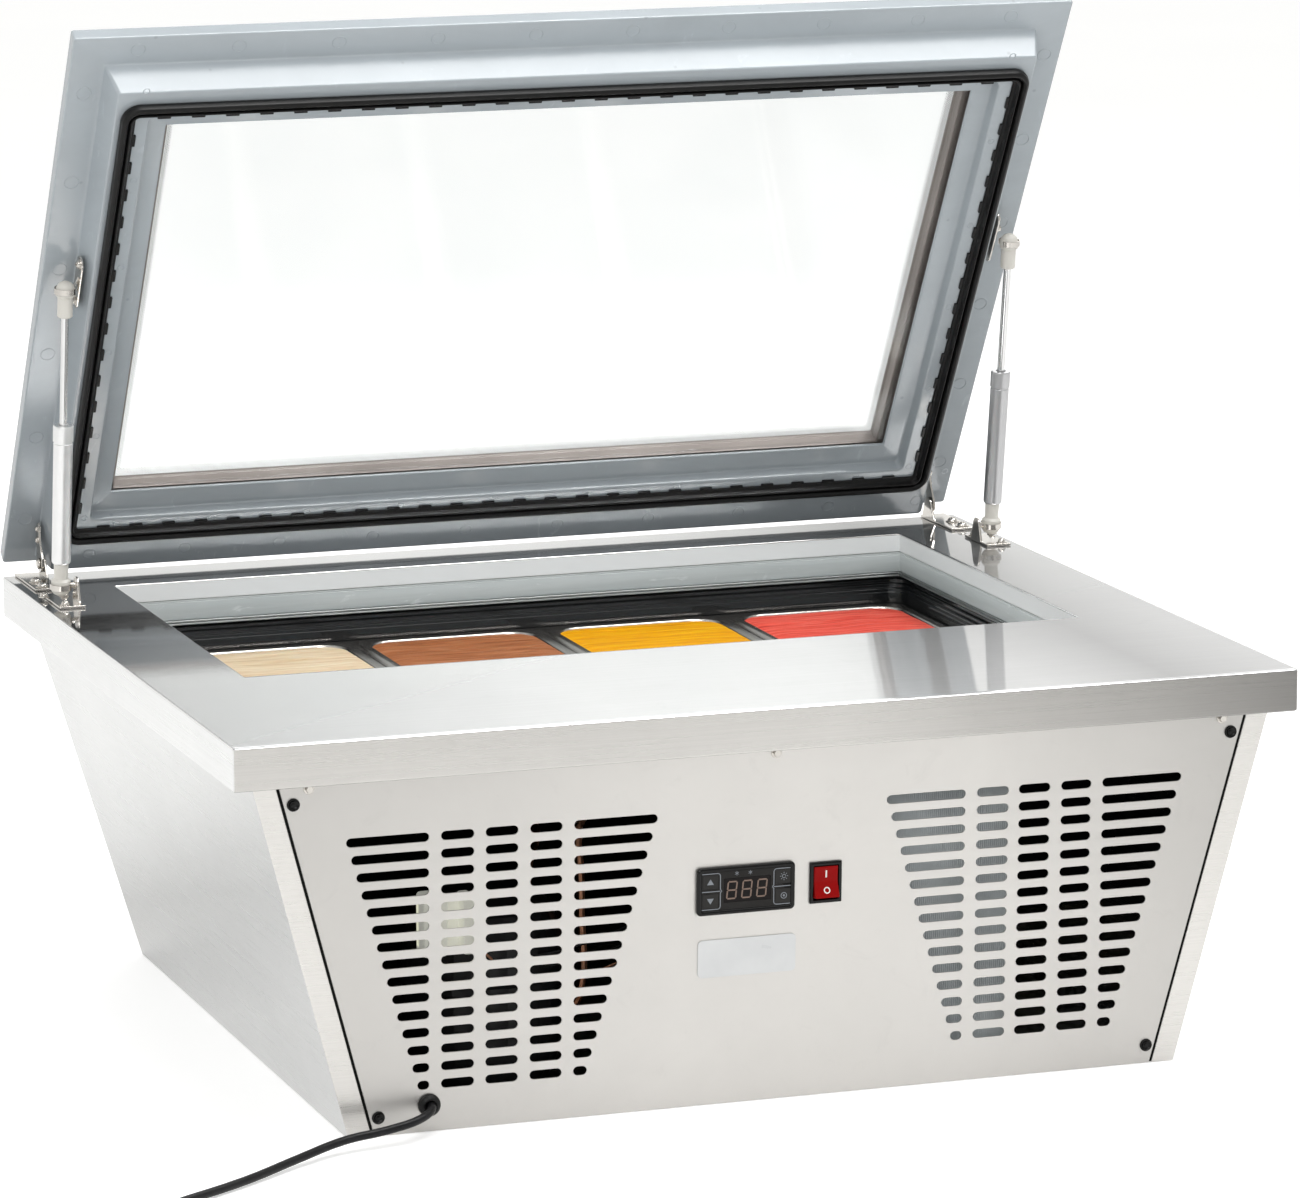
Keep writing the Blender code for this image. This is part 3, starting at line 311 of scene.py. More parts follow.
def wire(name, points, radius, smooth=True):
    """A round bar along a path."""
    data = bpy.data.curves.new(name, "CURVE")
    data.dimensions = "3D"
    data.bevel_depth = radius
    data.bevel_resolution = 4
    data.use_fill_caps = True
    data.resolution_u = 12
    spline = data.splines.new("BEZIER" if smooth else "POLY")
    targets = spline.bezier_points if smooth else spline.points
    targets.add(len(points) - 1)
    for target, at in zip(targets, points):
        if smooth:
            target.co = at
            target.handle_left_type = "AUTO"
            target.handle_right_type = "AUTO"
        else:
            target.co = (*at, 1)
    return to_mesh(to_object(name, data), 60)


def merged(name, objects):
    """Joins several pieces into one object under the first one's matrix."""
    first = objects[0]
    base = first.matrix_world.inverted()
    mesh = bmesh.new()
    for obj in objects:
        part = bmesh.new()
        part.from_mesh(obj.data)
        part.transform(base @ obj.matrix_world)
        spare = bpy.data.meshes.new("spare")
        part.to_mesh(spare)
        part.free()
        mesh.from_mesh(spare)
        bpy.data.meshes.remove(spare)
    matrix = first.matrix_world.copy()
    for obj in objects:
        bpy.data.objects.remove(obj)
    return solid(name, mesh, matrix)


def carve(obj, cutter):
    """Cuts one piece with another, keeps the result as the piece's mesh and removes the cutter."""
    step = obj.modifiers.new("cut", "BOOLEAN")
    step.operation = "DIFFERENCE"
    step.solver = "EXACT"
    step.object = cutter
    graph = bpy.context.evaluated_depsgraph_get()
    data = bpy.data.meshes.new_from_object(obj.evaluated_get(graph))
    obj.modifiers.clear()
    obj.data = data
    data.shade_smooth()
    data.set_sharp_from_angle(angle=radians(SHARP_DEG))
    bpy.data.objects.remove(cutter)
    return weigh(obj)


def show(obj, finish, body, replaces=()):
    """Gives a piece its finish and the body it moves with."""
    obj.data.materials.clear()
    obj.data.materials.append(finish)
    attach(obj, body)
    if replaces:
        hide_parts(*replaces)
    return obj


def coat(finish, *nodes):
    """Gives CAD nodes a finish."""
    for node in nodes:
        data = frame["nodes"][node].data
        data.materials.clear()
        data.materials.append(finish)


# ------------------------------------------------ materials
SOFT_TINT = (0.80, 0.80, 0.80)


class Paint:
    """A material's node tree, built by short calls."""

    def __init__(self, name, slot):
        self.material = bpy.data.materials.new(name)
        self.material.use_nodes = True
        self.material["slot"] = slot
        self.tree = self.material.node_tree
        self.surface = self.tree.nodes["Principled BSDF"]
        self.place = self.node("TexCoord").outputs["Object"]

    def node(self, kind, inputs=(), **settings):
        """Adds a shader node with its inputs and settings."""
        made = self.tree.nodes.new("ShaderNode" + kind)
        for key, value in settings.items():
            setattr(made, key, value)
        for key, value in dict(inputs).items():
            self.feed(made.inputs[key], value)
        return made

    def feed(self, socket, value):
        """Links a socket to an input, or sets the input to a value."""
        if isinstance(value, bpy.types.NodeSocket):
            self.tree.links.new(value, socket)
        else:
            socket.default_value = value

    def set(self, **values):
        """Feeds inputs of the surface shader, named with underscores for spaces."""
        for key, value in values.items():
            self.feed(self.surface.inputs[key.replace("_", " ")], value)
        return self

    def sum(self, operation, a, b=0.0, clamp=False):
        """One step of arithmetic."""
        return self.node("Math", {0: a, 1: b}, operation=operation, use_clamp=clamp).outputs[0]

    def axis(self, index, source=None):
        """One component of a vector, by default of the place in the piece's own frame."""
        return self.node("SeparateXYZ", {0: source or self.place}).outputs[index]

    def noise(self, scale, detail=3.0, roughness=0.55, distortion=0.0):
        """Cloudy noise. The scale is one number, or one for each axis."""
        scales = scale if isinstance(scale, tuple) else (scale, scale, scale)
        mapping = self.node("Mapping", {"Vector": self.place, "Scale": scales})
        values = {"Vector": mapping.outputs[0], "Scale": 1.0, "Detail": detail, "Roughness": roughness}
        values["Distortion"] = distortion
        return self.node("TexNoise", values).outputs["Fac"]

    def ramp(self, value, *stops):
        """Blends from stop to stop. A stop is (position, colour or grey)."""
        made = self.node("ValToRGB", {"Fac": value})
        elements = made.color_ramp.elements
        while len(elements) < len(stops):
            elements.new(0.5)
        for element, (position, colour) in zip(elements, stops):
            element.position = position
            element.color = (*colour, 1) if isinstance(colour, tuple) else (colour, colour, colour, 1)
        return made.outputs["Color"]

    def spread(self, value, low, high, out_low, out_high):
        """Maps a range of a value to another range."""
        inputs = {"Value": value, 1: low, 2: high, 3: out_low, 4: out_high}
        return self.node("MapRange", inputs).outputs[0]

    def mix(self, share, a, b):
        """Blends two colours by a share."""
        made = self.node("Mix", data_type="RGBA")
        self.feed(made.inputs[0], share)
        for index, value in ((6, a), (7, b)):
            self.feed(made.inputs[index], (*value, 1) if isinstance(value, tuple) else value)
        return made.outputs[2]

    def multiply(self, a, b):
        """Multiplies two colours."""
        made = self.node("Mix", {0: 1.0, 6: a}, data_type="RGBA", blend_type="MULTIPLY")
        self.feed(made.inputs[7], (*b, 1) if isinstance(b, tuple) else b)
        return made.outputs[2]

    def bump(self, height, strength, distance):
        """Normal of a surface raised by a height."""
        return self.node("Bump", {"Height": height, "Strength": strength, "Distance": distance}).outputs[0]

    def facing(self, index):
        """How far the surface faces along an axis, as an absolute value."""
        normal = self.node("NewGeometry").outputs["Normal"]
        return self.sum("ABSOLUTE", self.axis(index, normal))


def tone(colour, factor):
    """A colour made darker or lighter, kept within one."""
    return tuple(min(1.0, channel * factor) for channel in colour)


def brushed(name, slot, colour, roughness, side=None, level=None, shades=(None, None, None), grain=900.0,
            level_roughness=None, haze=None, inner=None):
    """Brushed sheet with its own tint and shade ramp on front, side and level faces: lit and shaded copies of
    one steel, painted light and shade. Haze is the share of a soft second reflection, and inner masks faces
    that are satin and pale instead."""
    p = Paint(name, slot)
    across = p.noise((4, grain, 4), 4)
    along = p.noise((4, 4, grain), 4)
    up = p.spread(p.facing(2), 0.6, 0.8, 0, 1)
    sideways = p.spread(p.facing(0), 0.6, 0.8, 0, 1)
    lines = p.mix(up, along, across)
    cloud = p.noise(5, 5, 0.65, 0.4)
    stain = p.noise((34, 34, 90), 5, 0.7, 0.8)
    tints = []
    # Painted light and shade: each facing takes its own copy of the tint, times its painted shade ramp.
    for base, shade in zip((colour, side or colour, level or colour), shades):
        tint = p.ramp(cloud, (0.30, tone(base, 0.965)), (0.70, tone(base, 1.03)))
        tints.append(p.multiply(tint, shade(p)) if shade else tint)
    tint = p.mix(up, p.mix(sideways, tints[0], tints[1]), tints[2])
    tint = p.multiply(tint, p.ramp(lines, (0.35, 0.93), (0.65, 1.0)))
    tint = p.multiply(tint, p.ramp(stain, (0.28, 0.965), (0.42, 1.0)))
    rough = p.spread(lines, 0.3, 0.7, roughness * 0.85, roughness * 1.15)
    if level_roughness:
        level_rough = p.spread(lines, 0.3, 0.7, level_roughness * 0.8, level_roughness * 1.2)
        rough = p.mix(up, rough, level_rough)
    metal = 1.0
    if inner:
        mask = inner(p, up)
        tint = p.mix(mask, tint, (0.86, 0.875, 0.88))
        rough = p.spread(mask, 0, 1, rough, 0.36)
        metal = p.spread(mask, 0, 1, 1.0, 0.0)
    p.set(Base_Color=tint, Metallic=metal, Roughness=rough)
    p.set(Normal=p.bump(lines, p.spread(up, 0, 1, 0.05, 0.015), 0.0004))
    if haze:
        values = {"Base Color": p.multiply(tint, SOFT_TINT), "Metallic": metal, "Roughness": 0.5}
        soft = p.node("BsdfPrincipled", values)
        share = p.sum("MULTIPLY", up, haze(p))
        blend = p.node("MixShader", {0: share, 1: p.surface.outputs[0], 2: soft.outputs[0]})
        p.feed(p.tree.nodes["Material Output"].inputs["Surface"], blend.outputs[0])
    return p.material


def plated(name, slot, colour, roughness, grain=0.25, stains=0.90):
    """Bright plate with faint pits, stains and a slightly uneven gloss."""
    p = Paint(name, slot)
    pits = p.noise(900, 2)
    stain = p.noise(90, 3)
    p.set(Base_Color=p.ramp(stain, (0.25, tone(colour, stains)), (0.75, tone(colour, 1.03))), Metallic=1.0)
    p.set(Roughness=p.spread(stain, 0.2, 0.8, roughness * 0.85, roughness * 1.25))
    p.set(Normal=p.bump(pits, grain * 0.2, 0.0002))
    return p.material


def moulded(name, slot, colour, roughness, texture=0.08, scale=1500.0, coat_weight=0.0, shade=0.06, shine=0.5,
            painted_glow=0.0):
    """Moulded plastic: fine texture, cloudy colour and smears of uneven gloss, with an optional painted glow.
    """
    p = Paint(name, slot)
    fine = p.noise(scale, 2)
    cloud = p.noise(9, 5, 0.65, 0.6)
    stops = ((0.30, tone(colour, 1 - shade)), (0.72, tone(colour, 1 + shade)))
    p.set(Base_Color=p.ramp(cloud, *stops))
    smear = p.noise((24, 60, 24), 4, 0.6, 1.2)
    p.set(Roughness=p.spread(smear, 0.3, 0.7, roughness * 0.8, roughness * 1.25), Specular_IOR_Level=shine)
    p.set(Normal=p.bump(fine, texture, 0.0003), Coat_Weight=coat_weight, Coat_Roughness=0.08)
    # Painted glow: emission that brightens the part though it is no lamp.
    p.set(Emission_Color=(*colour, 1), Emission_Strength=painted_glow)
    return p.material


def lid_plastic():
    """Glossy blue-grey moulding with flow smears and wiped marks, and painted shade that darkens it towards
    the hinges.
    """
    colour = (0.39, 0.43, 0.46)
    p = Paint("lid_plastic", "blue_grey_plastic")
    cloud = p.noise((5, 9, 5), 5, 0.65, 1.0)
    wiped = p.noise((40, 14, 40), 6, 0.7, 2.0)
    spots = p.node("TexVoronoi", {"Vector": p.place, "Scale": 34.0}).outputs["Distance"]
    speck = p.spread(spots, 0.03, 0.07, 0.82, 1.0)
    tint = p.ramp(cloud, (0.28, tone(colour, 0.93)), (0.72, tone(colour, 1.07)))
    # Painted shade: the colour darkens towards the hinge edge, most on the flange there.
    up = p.spread(p.axis(1), LID_HIGH.y, LID_LOW.y, 0, 1)
    tint = p.multiply(tint, p.ramp(up, (0.0, 0.60), (0.022, 0.66), (0.14, 0.80), (0.50, 0.98), (1.0, 1.06)))
    pale = p.mix(p.spread(wiped, 0.62, 0.74, 0, 0.28), tint, tone(colour, 1.5))
    fine = p.noise(1300, 2)
    p.set(Base_Color=p.multiply(pale, speck), Coat_Weight=0.35, Coat_Roughness=0.10)
    p.set(Roughness=p.spread(wiped, 0.3, 0.75, 0.14, 0.24), Normal=p.bump(fine, 0.04, 0.0003))
    return p.material


def throat_plastic():
    """Glossy grey-green moulding with long wiped streaks, and painted shade that darkens it towards its lower
    edge.
    """
    p = Paint("throat_plastic", "pale_grey_plastic")
    streak = p.noise((7, 7, 130), 5, 0.6, 0.5)
    smear = p.noise((18, 18, 60), 5, 0.7, 2.5)
    tint = p.ramp(streak, (0.3, (0.38, 0.41, 0.412)), (0.7, (0.46, 0.49, 0.492)))
    low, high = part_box("throat_frame")
    # Painted shade: darker towards the bottom of the collar, down in the opening.
    tint = p.multiply(tint, p.ramp(p.spread(p.axis(2), low.z, high.z, 0, 1), (0.0, 0.70), (0.9, 1.0)))
    tint = p.multiply(tint, (1.45, 1.45, 1.45))
    pale = p.mix(p.spread(smear, 0.60, 0.70, 0, 0.5), tint, (0.80, 0.83, 0.83))
    p.set(Base_Color=pale, Roughness=p.spread(smear, 0.3, 0.7, 0.28, 0.42))
    p.set(Coat_Weight=0.15, Coat_Roughness=0.12, Normal=p.bump(streak, 0.05, 0.0005))
    return p.material


def liner_plastic():
    """Glossy black liner, a little dusty, with a wavy surface."""
    p = Paint("liner_plastic", "black_liner")
    wave = p.noise((10, 10, 22), 2)
    dust = p.noise(220, 4, 0.7)
    p.set(Base_Color=p.ramp(dust, (0.50, (0.007, 0.008, 0.009)), (0.85, (0.016, 0.017, 0.018))))
    p.set(Roughness=p.spread(dust, 0.3, 0.8, 0.09, 0.15), Specular_IOR_Level=0.5)
    p.set(Normal=p.bump(wave, 0.02, 0.001))
    return p.material


def rubber(name, slot, colour, roughness=0.5):
    """Matt extruded rubber, greyed by handling."""
    p = Paint(name, slot)
    dust = p.noise(120, 5, 0.7)
    fine = p.noise(2200, 2)
    p.set(Base_Color=p.ramp(dust, (0.45, colour), (0.90, tone(colour, 2.4))))
    p.set(Roughness=p.spread(dust, 0.3, 0.8, roughness * 0.8, roughness * 1.3), Specular_IOR_Level=0.25)
    p.set(Normal=p.bump(fine, 0.10, 0.0003))
    return p.material


def spacer_metal():
    """Bronze anodised bar with drawn lines along it."""
    p = Paint("spacer_bronze", "bronze_spacer")
    lines = p.noise((3, 3, 900), 4)
    cloud = p.noise(12, 4)
    tint = p.ramp(cloud, (0.3, (0.19, 0.16, 0.145)), (0.7, (0.27, 0.235, 0.215)))
    mixed = p.multiply(tint, p.ramp(lines, (0.35, 0.88), (0.65, 1.0)))
    p.set(Base_Color=mixed, Metallic=0.35, Roughness=p.spread(lines, 0.3, 0.7, 0.30, 0.46))
    p.set(Normal=p.bump(lines, 0.08, 0.0003))
    return p.material


def clear_pane(name, dots):
    """A clear pane, optionally with a border of printed dots. Coordinates are the shut lid's own."""
    p = Paint(name, "lid_glass")
    film = p.noise(8, 5, 0.6, 0.8)
    uneven = p.spread(film, 0.4, 0.7, 0.01, 0.03)
    gloss = p.node("BsdfGlossy", {"Color": (0.95, 0.98, 0.98, 1), "Roughness": uneven})
    tint = p.ramp(film, (0.35, (0.985, 0.990, 0.990)), (0.75, (0.998, 1.0, 1.0)))
    through = p.node("BsdfTransparent", {"Color": tint})
    slant = p.node("LayerWeight", {"Blend": 0.5}).outputs["Facing"]
    share = p.sum("ADD", p.sum("MULTIPLY", p.sum("POWER", slant, 5.0), 0.3), 0.008)
    shader = p.node("MixShader", {0: share, 1: through.outputs[0], 2: gloss.outputs[0]}).outputs[0]
    if dots:
        ink = p.node("BsdfDiffuse", {"Color": (0.10, 0.105, 0.105, 1)})
        shader = p.node("MixShader", {0: dot_border(p), 1: shader, 2: ink.outputs[0]}).outputs[0]
    output = p.tree.nodes["Material Output"]
    p.tree.nodes.remove(p.surface)
    p.feed(output.inputs["Surface"], shader)
    return p.material


def dot_border(p):
    """Share of ink: staggered dots inside the border of the pane."""
    pitch = 0.0025
    row_pitch = 0.00125
    radius = 0.00052
    left_limit = -0.3168
    right_limit = 0.3222
    near_limit = LID_HIGH.y - 0.0832
    far_limit = LID_HIGH.y - 0.4450
    x = p.axis(0)
    y = p.axis(1)
    side = p.sum("MAXIMUM", p.sum("LESS_THAN", x, left_limit), p.sum("GREATER_THAN", x, right_limit))
    near = p.sum("GREATER_THAN", y, near_limit)
    far = p.sum("LESS_THAN", y, far_limit)
    border = p.sum("MAXIMUM", side, p.sum("MAXIMUM", near, far))
    row = p.sum("FLOOR", p.sum("DIVIDE", y, row_pitch))
    shift = p.sum("MULTIPLY", p.sum("MODULO", p.sum("ABSOLUTE", row), 2.0), 0.5)
    cell_x = p.sum("SUBTRACT", p.sum("FRACT", p.sum("ADD", p.sum("DIVIDE", x, pitch), shift)), 0.5)
    cell_y = p.sum("SUBTRACT", p.sum("FRACT", p.sum("DIVIDE", y, row_pitch)), 0.5)
    across = p.sum("POWER", p.sum("MULTIPLY", cell_x, pitch / radius), 2.0)
    along = p.sum("POWER", p.sum("MULTIPLY", cell_y, row_pitch / radius), 2.0)
    dot = p.sum("LESS_THAN", p.sum("ADD", across, along), 1.0)
    return p.sum("MULTIPLY", dot, border)


def ice_cream(name, slot, colour, pale, dark, seed):
    """Soft frozen mass: pale crests and darker troughs, partly its own streaky colour and partly painted
    shade, with crystals and a faint wet sheen.
    """
    p = Paint(name, slot)
    mapping = p.node("Mapping", {"Vector": p.place, "Scale": (16, 210, 16), "Location": (seed, seed, 0)})
    values = {"Vector": mapping.outputs[0], "Scale": 1.0, "Detail": 6.0, "Roughness": 0.6, "Distortion": 0.9}
    streak = p.node("TexNoise", values).outputs["Fac"]
    grain = p.noise(900, 3)
    seen = p.node("LightPath").outputs["Is Camera Ray"]
    # Painted shade in part: the troughs of the bump take the dark colour, the crests the pale one.
    tint = p.ramp(streak, (0.28, dark), (0.50, colour), (0.74, pale))
    p.set(Base_Color=p.mix(seen, (0.60, 0.61, 0.61), tint))
    p.set(Roughness=p.spread(grain, 0.3, 0.7, 0.45, 0.7), Specular_IOR_Level=0.08)
    height = p.sum("ADD", streak, p.sum("MULTIPLY", grain, 0.15))
    p.set(Normal=p.bump(height, 0.9, 0.0011))
    p.set(Subsurface_Weight=0.12, Subsurface_Scale=0.004)
    return p.material


def galvanised():
    """Hot-dip zinc with its spangle."""
    p = Paint("galvanised_zinc", "galvanised_steel")
    cells = p.node("TexVoronoi", {"Vector": p.place, "Scale": 130.0}).outputs["Color"]
    grey = p.axis(0, cells)
    fine = p.noise(500, 3)
    p.set(Base_Color=p.ramp(grey, (0.1, (0.36, 0.37, 0.38)), (0.9, (0.56, 0.57, 0.58))), Metallic=1.0)
    p.set(Roughness=p.spread(grey, 0, 1, 0.34, 0.56), Normal=p.bump(fine, 0.1, 0.0003))
    return p.material


def copper_pipe():
    """Copper with brown stains."""
    p = Paint("copper_pipe", "copper")
    stain = p.noise(70, 5, 0.65)
    p.set(Base_Color=p.ramp(stain, (0.3, (0.42, 0.17, 0.08)), (0.6, (0.74, 0.38, 0.24))), Metallic=1.0)
    p.set(Roughness=p.spread(stain, 0.3, 0.7, 0.24, 0.5), Normal=p.bump(stain, 0.1, 0.0004))
    return p.material


def foam():
    """Poured foam with open cells, painted near-black where it borders the machine compartment: painted shade
    behind the grilles.
    """
    p = Paint("poured_foam", "pale_foam")
    cells = p.node("TexVoronoi", {"Vector": p.place, "Scale": 420.0}).outputs["Distance"]
    age = p.noise(20, 4)
    pale = p.ramp(age, (0.3, (0.66, 0.54, 0.28)), (0.7, (0.84, 0.76, 0.52)))
    # Painted shade: near-black where the foam faces the machine compartment.
    compartment_shade = p.sum("LESS_THAN", p.axis(1), -0.11)
    p.set(Base_Color=p.mix(compartment_shade, pale, (0.006, 0.006, 0.006)), Roughness=0.9, Specular_IOR_Level=0.1)
    p.set(Normal=p.bump(cells, 0.4, 0.001))
    return p.material


def glow(name, slot, colour, strength):
    """Printed marks and unlit figures, given a faint painted glow though they are no lamp."""
    p = Paint(name, slot)
    uneven = p.noise(600, 2)
    p.set(Base_Color=p.ramp(uneven, (0.3, tone(colour, 0.9)), (0.7, colour)), Roughness=0.4)
    p.set(Emission_Color=(*colour, 1), Emission_Strength=strength)
    return p.material


def badge_print():
    """Blank pale plate under a satin film."""
    p = Paint("badge_print", "badge_grey")
    fine = p.noise(1800, 2)
    cloud = p.noise(30, 3)
    p.set(Base_Color=p.ramp(cloud, (0.3, (0.66, 0.67, 0.68)), (0.7, (0.72, 0.73, 0.735))))
    p.set(Roughness=p.spread(cloud, 0.3, 0.7, 0.25, 0.38), Normal=p.bump(fine, 0.04, 0.0002), Coat_Weight=0.4)
    return p.material


def across_rim(p):
    """Place between the worktop's left and right edge, 0 to 1."""
    return p.spread(p.axis(0), -0.41, 0.41, 0, 1)


def rim_shading(p):
    """Painted shade on the rim: darker towards its right end."""
    return p.ramp(across_rim(p), (0.0, 0.74), (0.55, 0.78), (0.85, 0.50), (1.0, 0.33))


def level_shading(p):
    """Painted light and shade on the top: brightest about the middle of its width, darker towards both ends.
    """
    stops = ((0.0, 0.58), (0.35, 0.88), (0.62, 0.88), (0.76, 0.73), (0.88, 0.42), (1.0, 0.62))
    return p.ramp(across_rim(p), *stops)


def panel_shading(p):
    """Painted shade on the panel: darker along its upper edge under the rim and towards both ends, with
    blotches under the rim that are partly rubbed stains and partly painted shade.
    """
    # Painted shade: darker along the upper edge and towards both ends.
    stops = ((0.0, 0.86), (0.35, 0.95), (0.62, 0.96), (0.78, 0.86), (0.88, 0.62), (1.0, 0.44))
    height = p.ramp(p.spread(p.axis(2), 0.0, 0.266, 0, 1), *stops)
    width = p.ramp(p.spread(p.axis(0), -0.37, 0.37, 0, 1), (0.0, 0.84), (0.40, 1.0), (0.72, 1.0), (1.0, 0.78))
    # Blotches under the rim: partly rubbed stains, partly painted shade.
    rubbed_stains_and_shade = p.ramp(p.noise((22, 22, 60), 6, 0.7, 1.5), (0.38, 0.74), (0.54, 1.0))
    under_rim = p.spread(p.axis(2), 0.228, 0.258, 0, 1)
    stains_and_shade = p.mix(under_rim, (1.0, 1.0, 1.0), rubbed_stains_and_shade)
    return p.multiply(p.multiply(height, width), stains_and_shade)


def side_shading(p):
    """Painted shade: a broad darker band crosses the side walls at mid height."""
    place = p.sum("ADD", p.axis(2), p.sum("MULTIPLY", p.axis(1), 0.25))
    stops = ((0.0, 1.0), (0.22, 0.98), (0.45, 0.68), (0.75, 0.88), (1.0, 0.92))
    return p.ramp(p.spread(place, -0.08, 0.34, 0, 1), *stops)


def top_haze(p):
    """Share of soft reflection on the top, more towards the front edge and the right."""
    front = p.spread(p.axis(1), 0.30, -0.34, 0.05, 0.34)
    right = p.spread(p.axis(0), -0.41, 0.25, 0.0, 0.16)
    return p.sum("ADD", front, right, True)


def hem_mask(p, up):
    """One on the upright faces of the fold round the opening."""
    half, front, rear = OPENING
    inside = p.sum("LESS_THAN", p.sum("ABSOLUTE", p.axis(0)), half + 0.0006)
    inside = p.sum("MULTIPLY", inside, p.sum("GREATER_THAN", p.axis(1), front - 0.0006))
    inside = p.sum("MULTIPLY", inside, p.sum("LESS_THAN", p.axis(1), rear + 0.0006))
    inside = p.sum("MULTIPLY", inside, p.sum("LESS_THAN", p.axis(2), TOP - 0.0012))
    return p.sum("MULTIPLY", inside, p.sum("SUBTRACT", 1.0, up))


STEEL = (0.875, 0.852, 0.822)
# Paler, neutral copy of the steel for faces that look sideways or up: painted light.
LIT_STEEL = (0.86, 0.86, 0.86)
WORKTOP_STEEL = brushed("worktop_steel", "brushed_steel", STEEL, 0.30, side=LIT_STEEL, level=LIT_STEEL,
                        shades=(rim_shading, None, level_shading), grain=1000, level_roughness=0.05,
                        haze=top_haze, inner=hem_mask)
PANEL_STEEL = brushed("panel_steel", "brushed_steel", STEEL, 0.42, shades=(panel_shading, None, None))
# The side walls: a darker copy of the steel on their front faces, the paler one on their sides: painted light
# and shade.
SIDE_STEEL = brushed("side_steel", "brushed_steel", tone(STEEL, 0.86), 0.30, side=LIT_STEEL,
                     shades=(None, side_shading, None), grain=1700)
PAN_STEEL = brushed("drawn_steel", "pan_steel", (0.64, 0.60, 0.565), 0.22, grain=600)
TRIM = brushed("trim_aluminium", "satin_aluminium", (0.30, 0.315, 0.315), 0.40, grain=700)
NICKEL = plated("nickel_plate", "bright_nickel", (0.66, 0.63, 0.59), 0.14)
CHROME = plated("rod_chrome", "bright_nickel", (0.80, 0.80, 0.80), 0.05, grain=0.05, stains=0.96)
SATIN = plated("satin_tube", "satin_aluminium", (0.90, 0.90, 0.90), 0.36, grain=0.4, stains=0.98)
# Darker copy of the satin tube for the right strut: painted shade.
SHADED_SATIN = plated("shaded_tube", "satin_aluminium", (0.56, 0.56, 0.57), 0.34, grain=0.4, stains=0.96)
CUP = moulded("cup_plastic", "satin_aluminium", (0.70, 0.68, 0.63), 0.36)
LID_PLASTIC = lid_plastic()
THROAT = throat_plastic()
LINER = liner_plastic()
SEAL = rubber("seal_black", "seal_rubber", (0.005, 0.005, 0.005), 0.36)
CABLE = rubber("cable_sheath", "cable_black", (0.007, 0.007, 0.008), 0.36)
SPACER = spacer_metal()
PANE = clear_pane("pane_clear", False)
DOT_PANE = clear_pane("pane_dotted", True)
FOAM = foam()
ZINC = galvanised()
COPPER = copper_pipe()
BLACK_PAINT = moulded("black_enamel", "black_paint", (0.010, 0.010, 0.011), 0.34,
                      texture=0.2, scale=500, coat_weight=0.1, shade=0.3, shine=0.3)
# Black plastic of the fan blade, also on the strips that are painted gap shadows.
DARK_SKIN_AND_SHADE = moulded("dark_skin_and_shade", "control_black", (0.004, 0.004, 0.004), 0.60,
                    texture=0.2, scale=900, shade=0.3, shine=0.1)
CONTROL = moulded("control_plastic", "control_black", (0.002, 0.002, 0.002), 0.07,
                  texture=0.02, shade=0.2, shine=0.30)
FACE = moulded("control_face", "control_black", (0.018, 0.017, 0.016), 0.50,
               texture=0.1, shade=0.2, shine=0.22)
CAP = moulded("cap_black", "control_black", (0.003, 0.003, 0.003), 0.22, texture=0.1, shade=0.2, shine=0.25)
WINDOW = moulded("smoked_window", "smoked_display", (0.005, 0.003, 0.003), 0.10,
                 texture=0.02, shade=0.3, shine=0.18)
KEY = moulded("key_pad", "key_grey", (0.019, 0.018, 0.017), 0.44, texture=0.1, shade=0.2, shine=0.30)
RED = moulded("red_gloss", "rocker_red", (0.29, 0.005, 0.005), 0.16, texture=0.02, shade=0.12, shine=0.07)
# The relay cover and the fins glow a little: painted light that brightens them in the shade behind the
# grilles.
CREAM = moulded("relay_cream", "cream_plastic", (0.80, 0.80, 0.72), 0.45, painted_glow=0.22)
COIL_GREY = moulded("coil_grey", "galvanised_steel", (0.50, 0.53, 0.54), 0.6,
                    texture=0.5, scale=700, shade=0.30, shine=0.4, painted_glow=0.10)
BADGE = badge_print()
# The printed marks and the unlit figures glow faintly: painted light, though none of them is a lamp.
MARK = glow("printed_mark", "key_grey", (0.24, 0.26, 0.29), 0.03)
WHITE_MARK = glow("white_mark", "rocker_red", (0.90, 0.86, 0.84), 0.05)
DIGIT = glow("digit_painted_glow", "smoked_display", (0.20, 0.135, 0.105), 0.04)
FLAVOURS = (
    ice_cream("vanilla_mass", "vanilla", seed=1.0,
              colour=(0.88, 0.70, 0.48), pale=(0.97, 0.84, 0.64), dark=(0.70, 0.49, 0.28)),
    ice_cream("chocolate_mass", "chocolate", seed=4.0,
              colour=(0.44, 0.155, 0.060), pale=(0.58, 0.25, 0.12), dark=(0.24, 0.07, 0.022)),
    ice_cream("mango_mass", "mango", seed=7.0,
              colour=(0.96, 0.42, 0.001), pale=(1.0, 0.58, 0.01), dark=(0.74, 0.25, 0.001)),
    ice_cream("strawberry_mass", "strawberry", seed=9.0,
              colour=(0.92, 0.110, 0.075), pale=(1.0, 0.25, 0.19), dark=(0.62, 0.04, 0.028)),
)


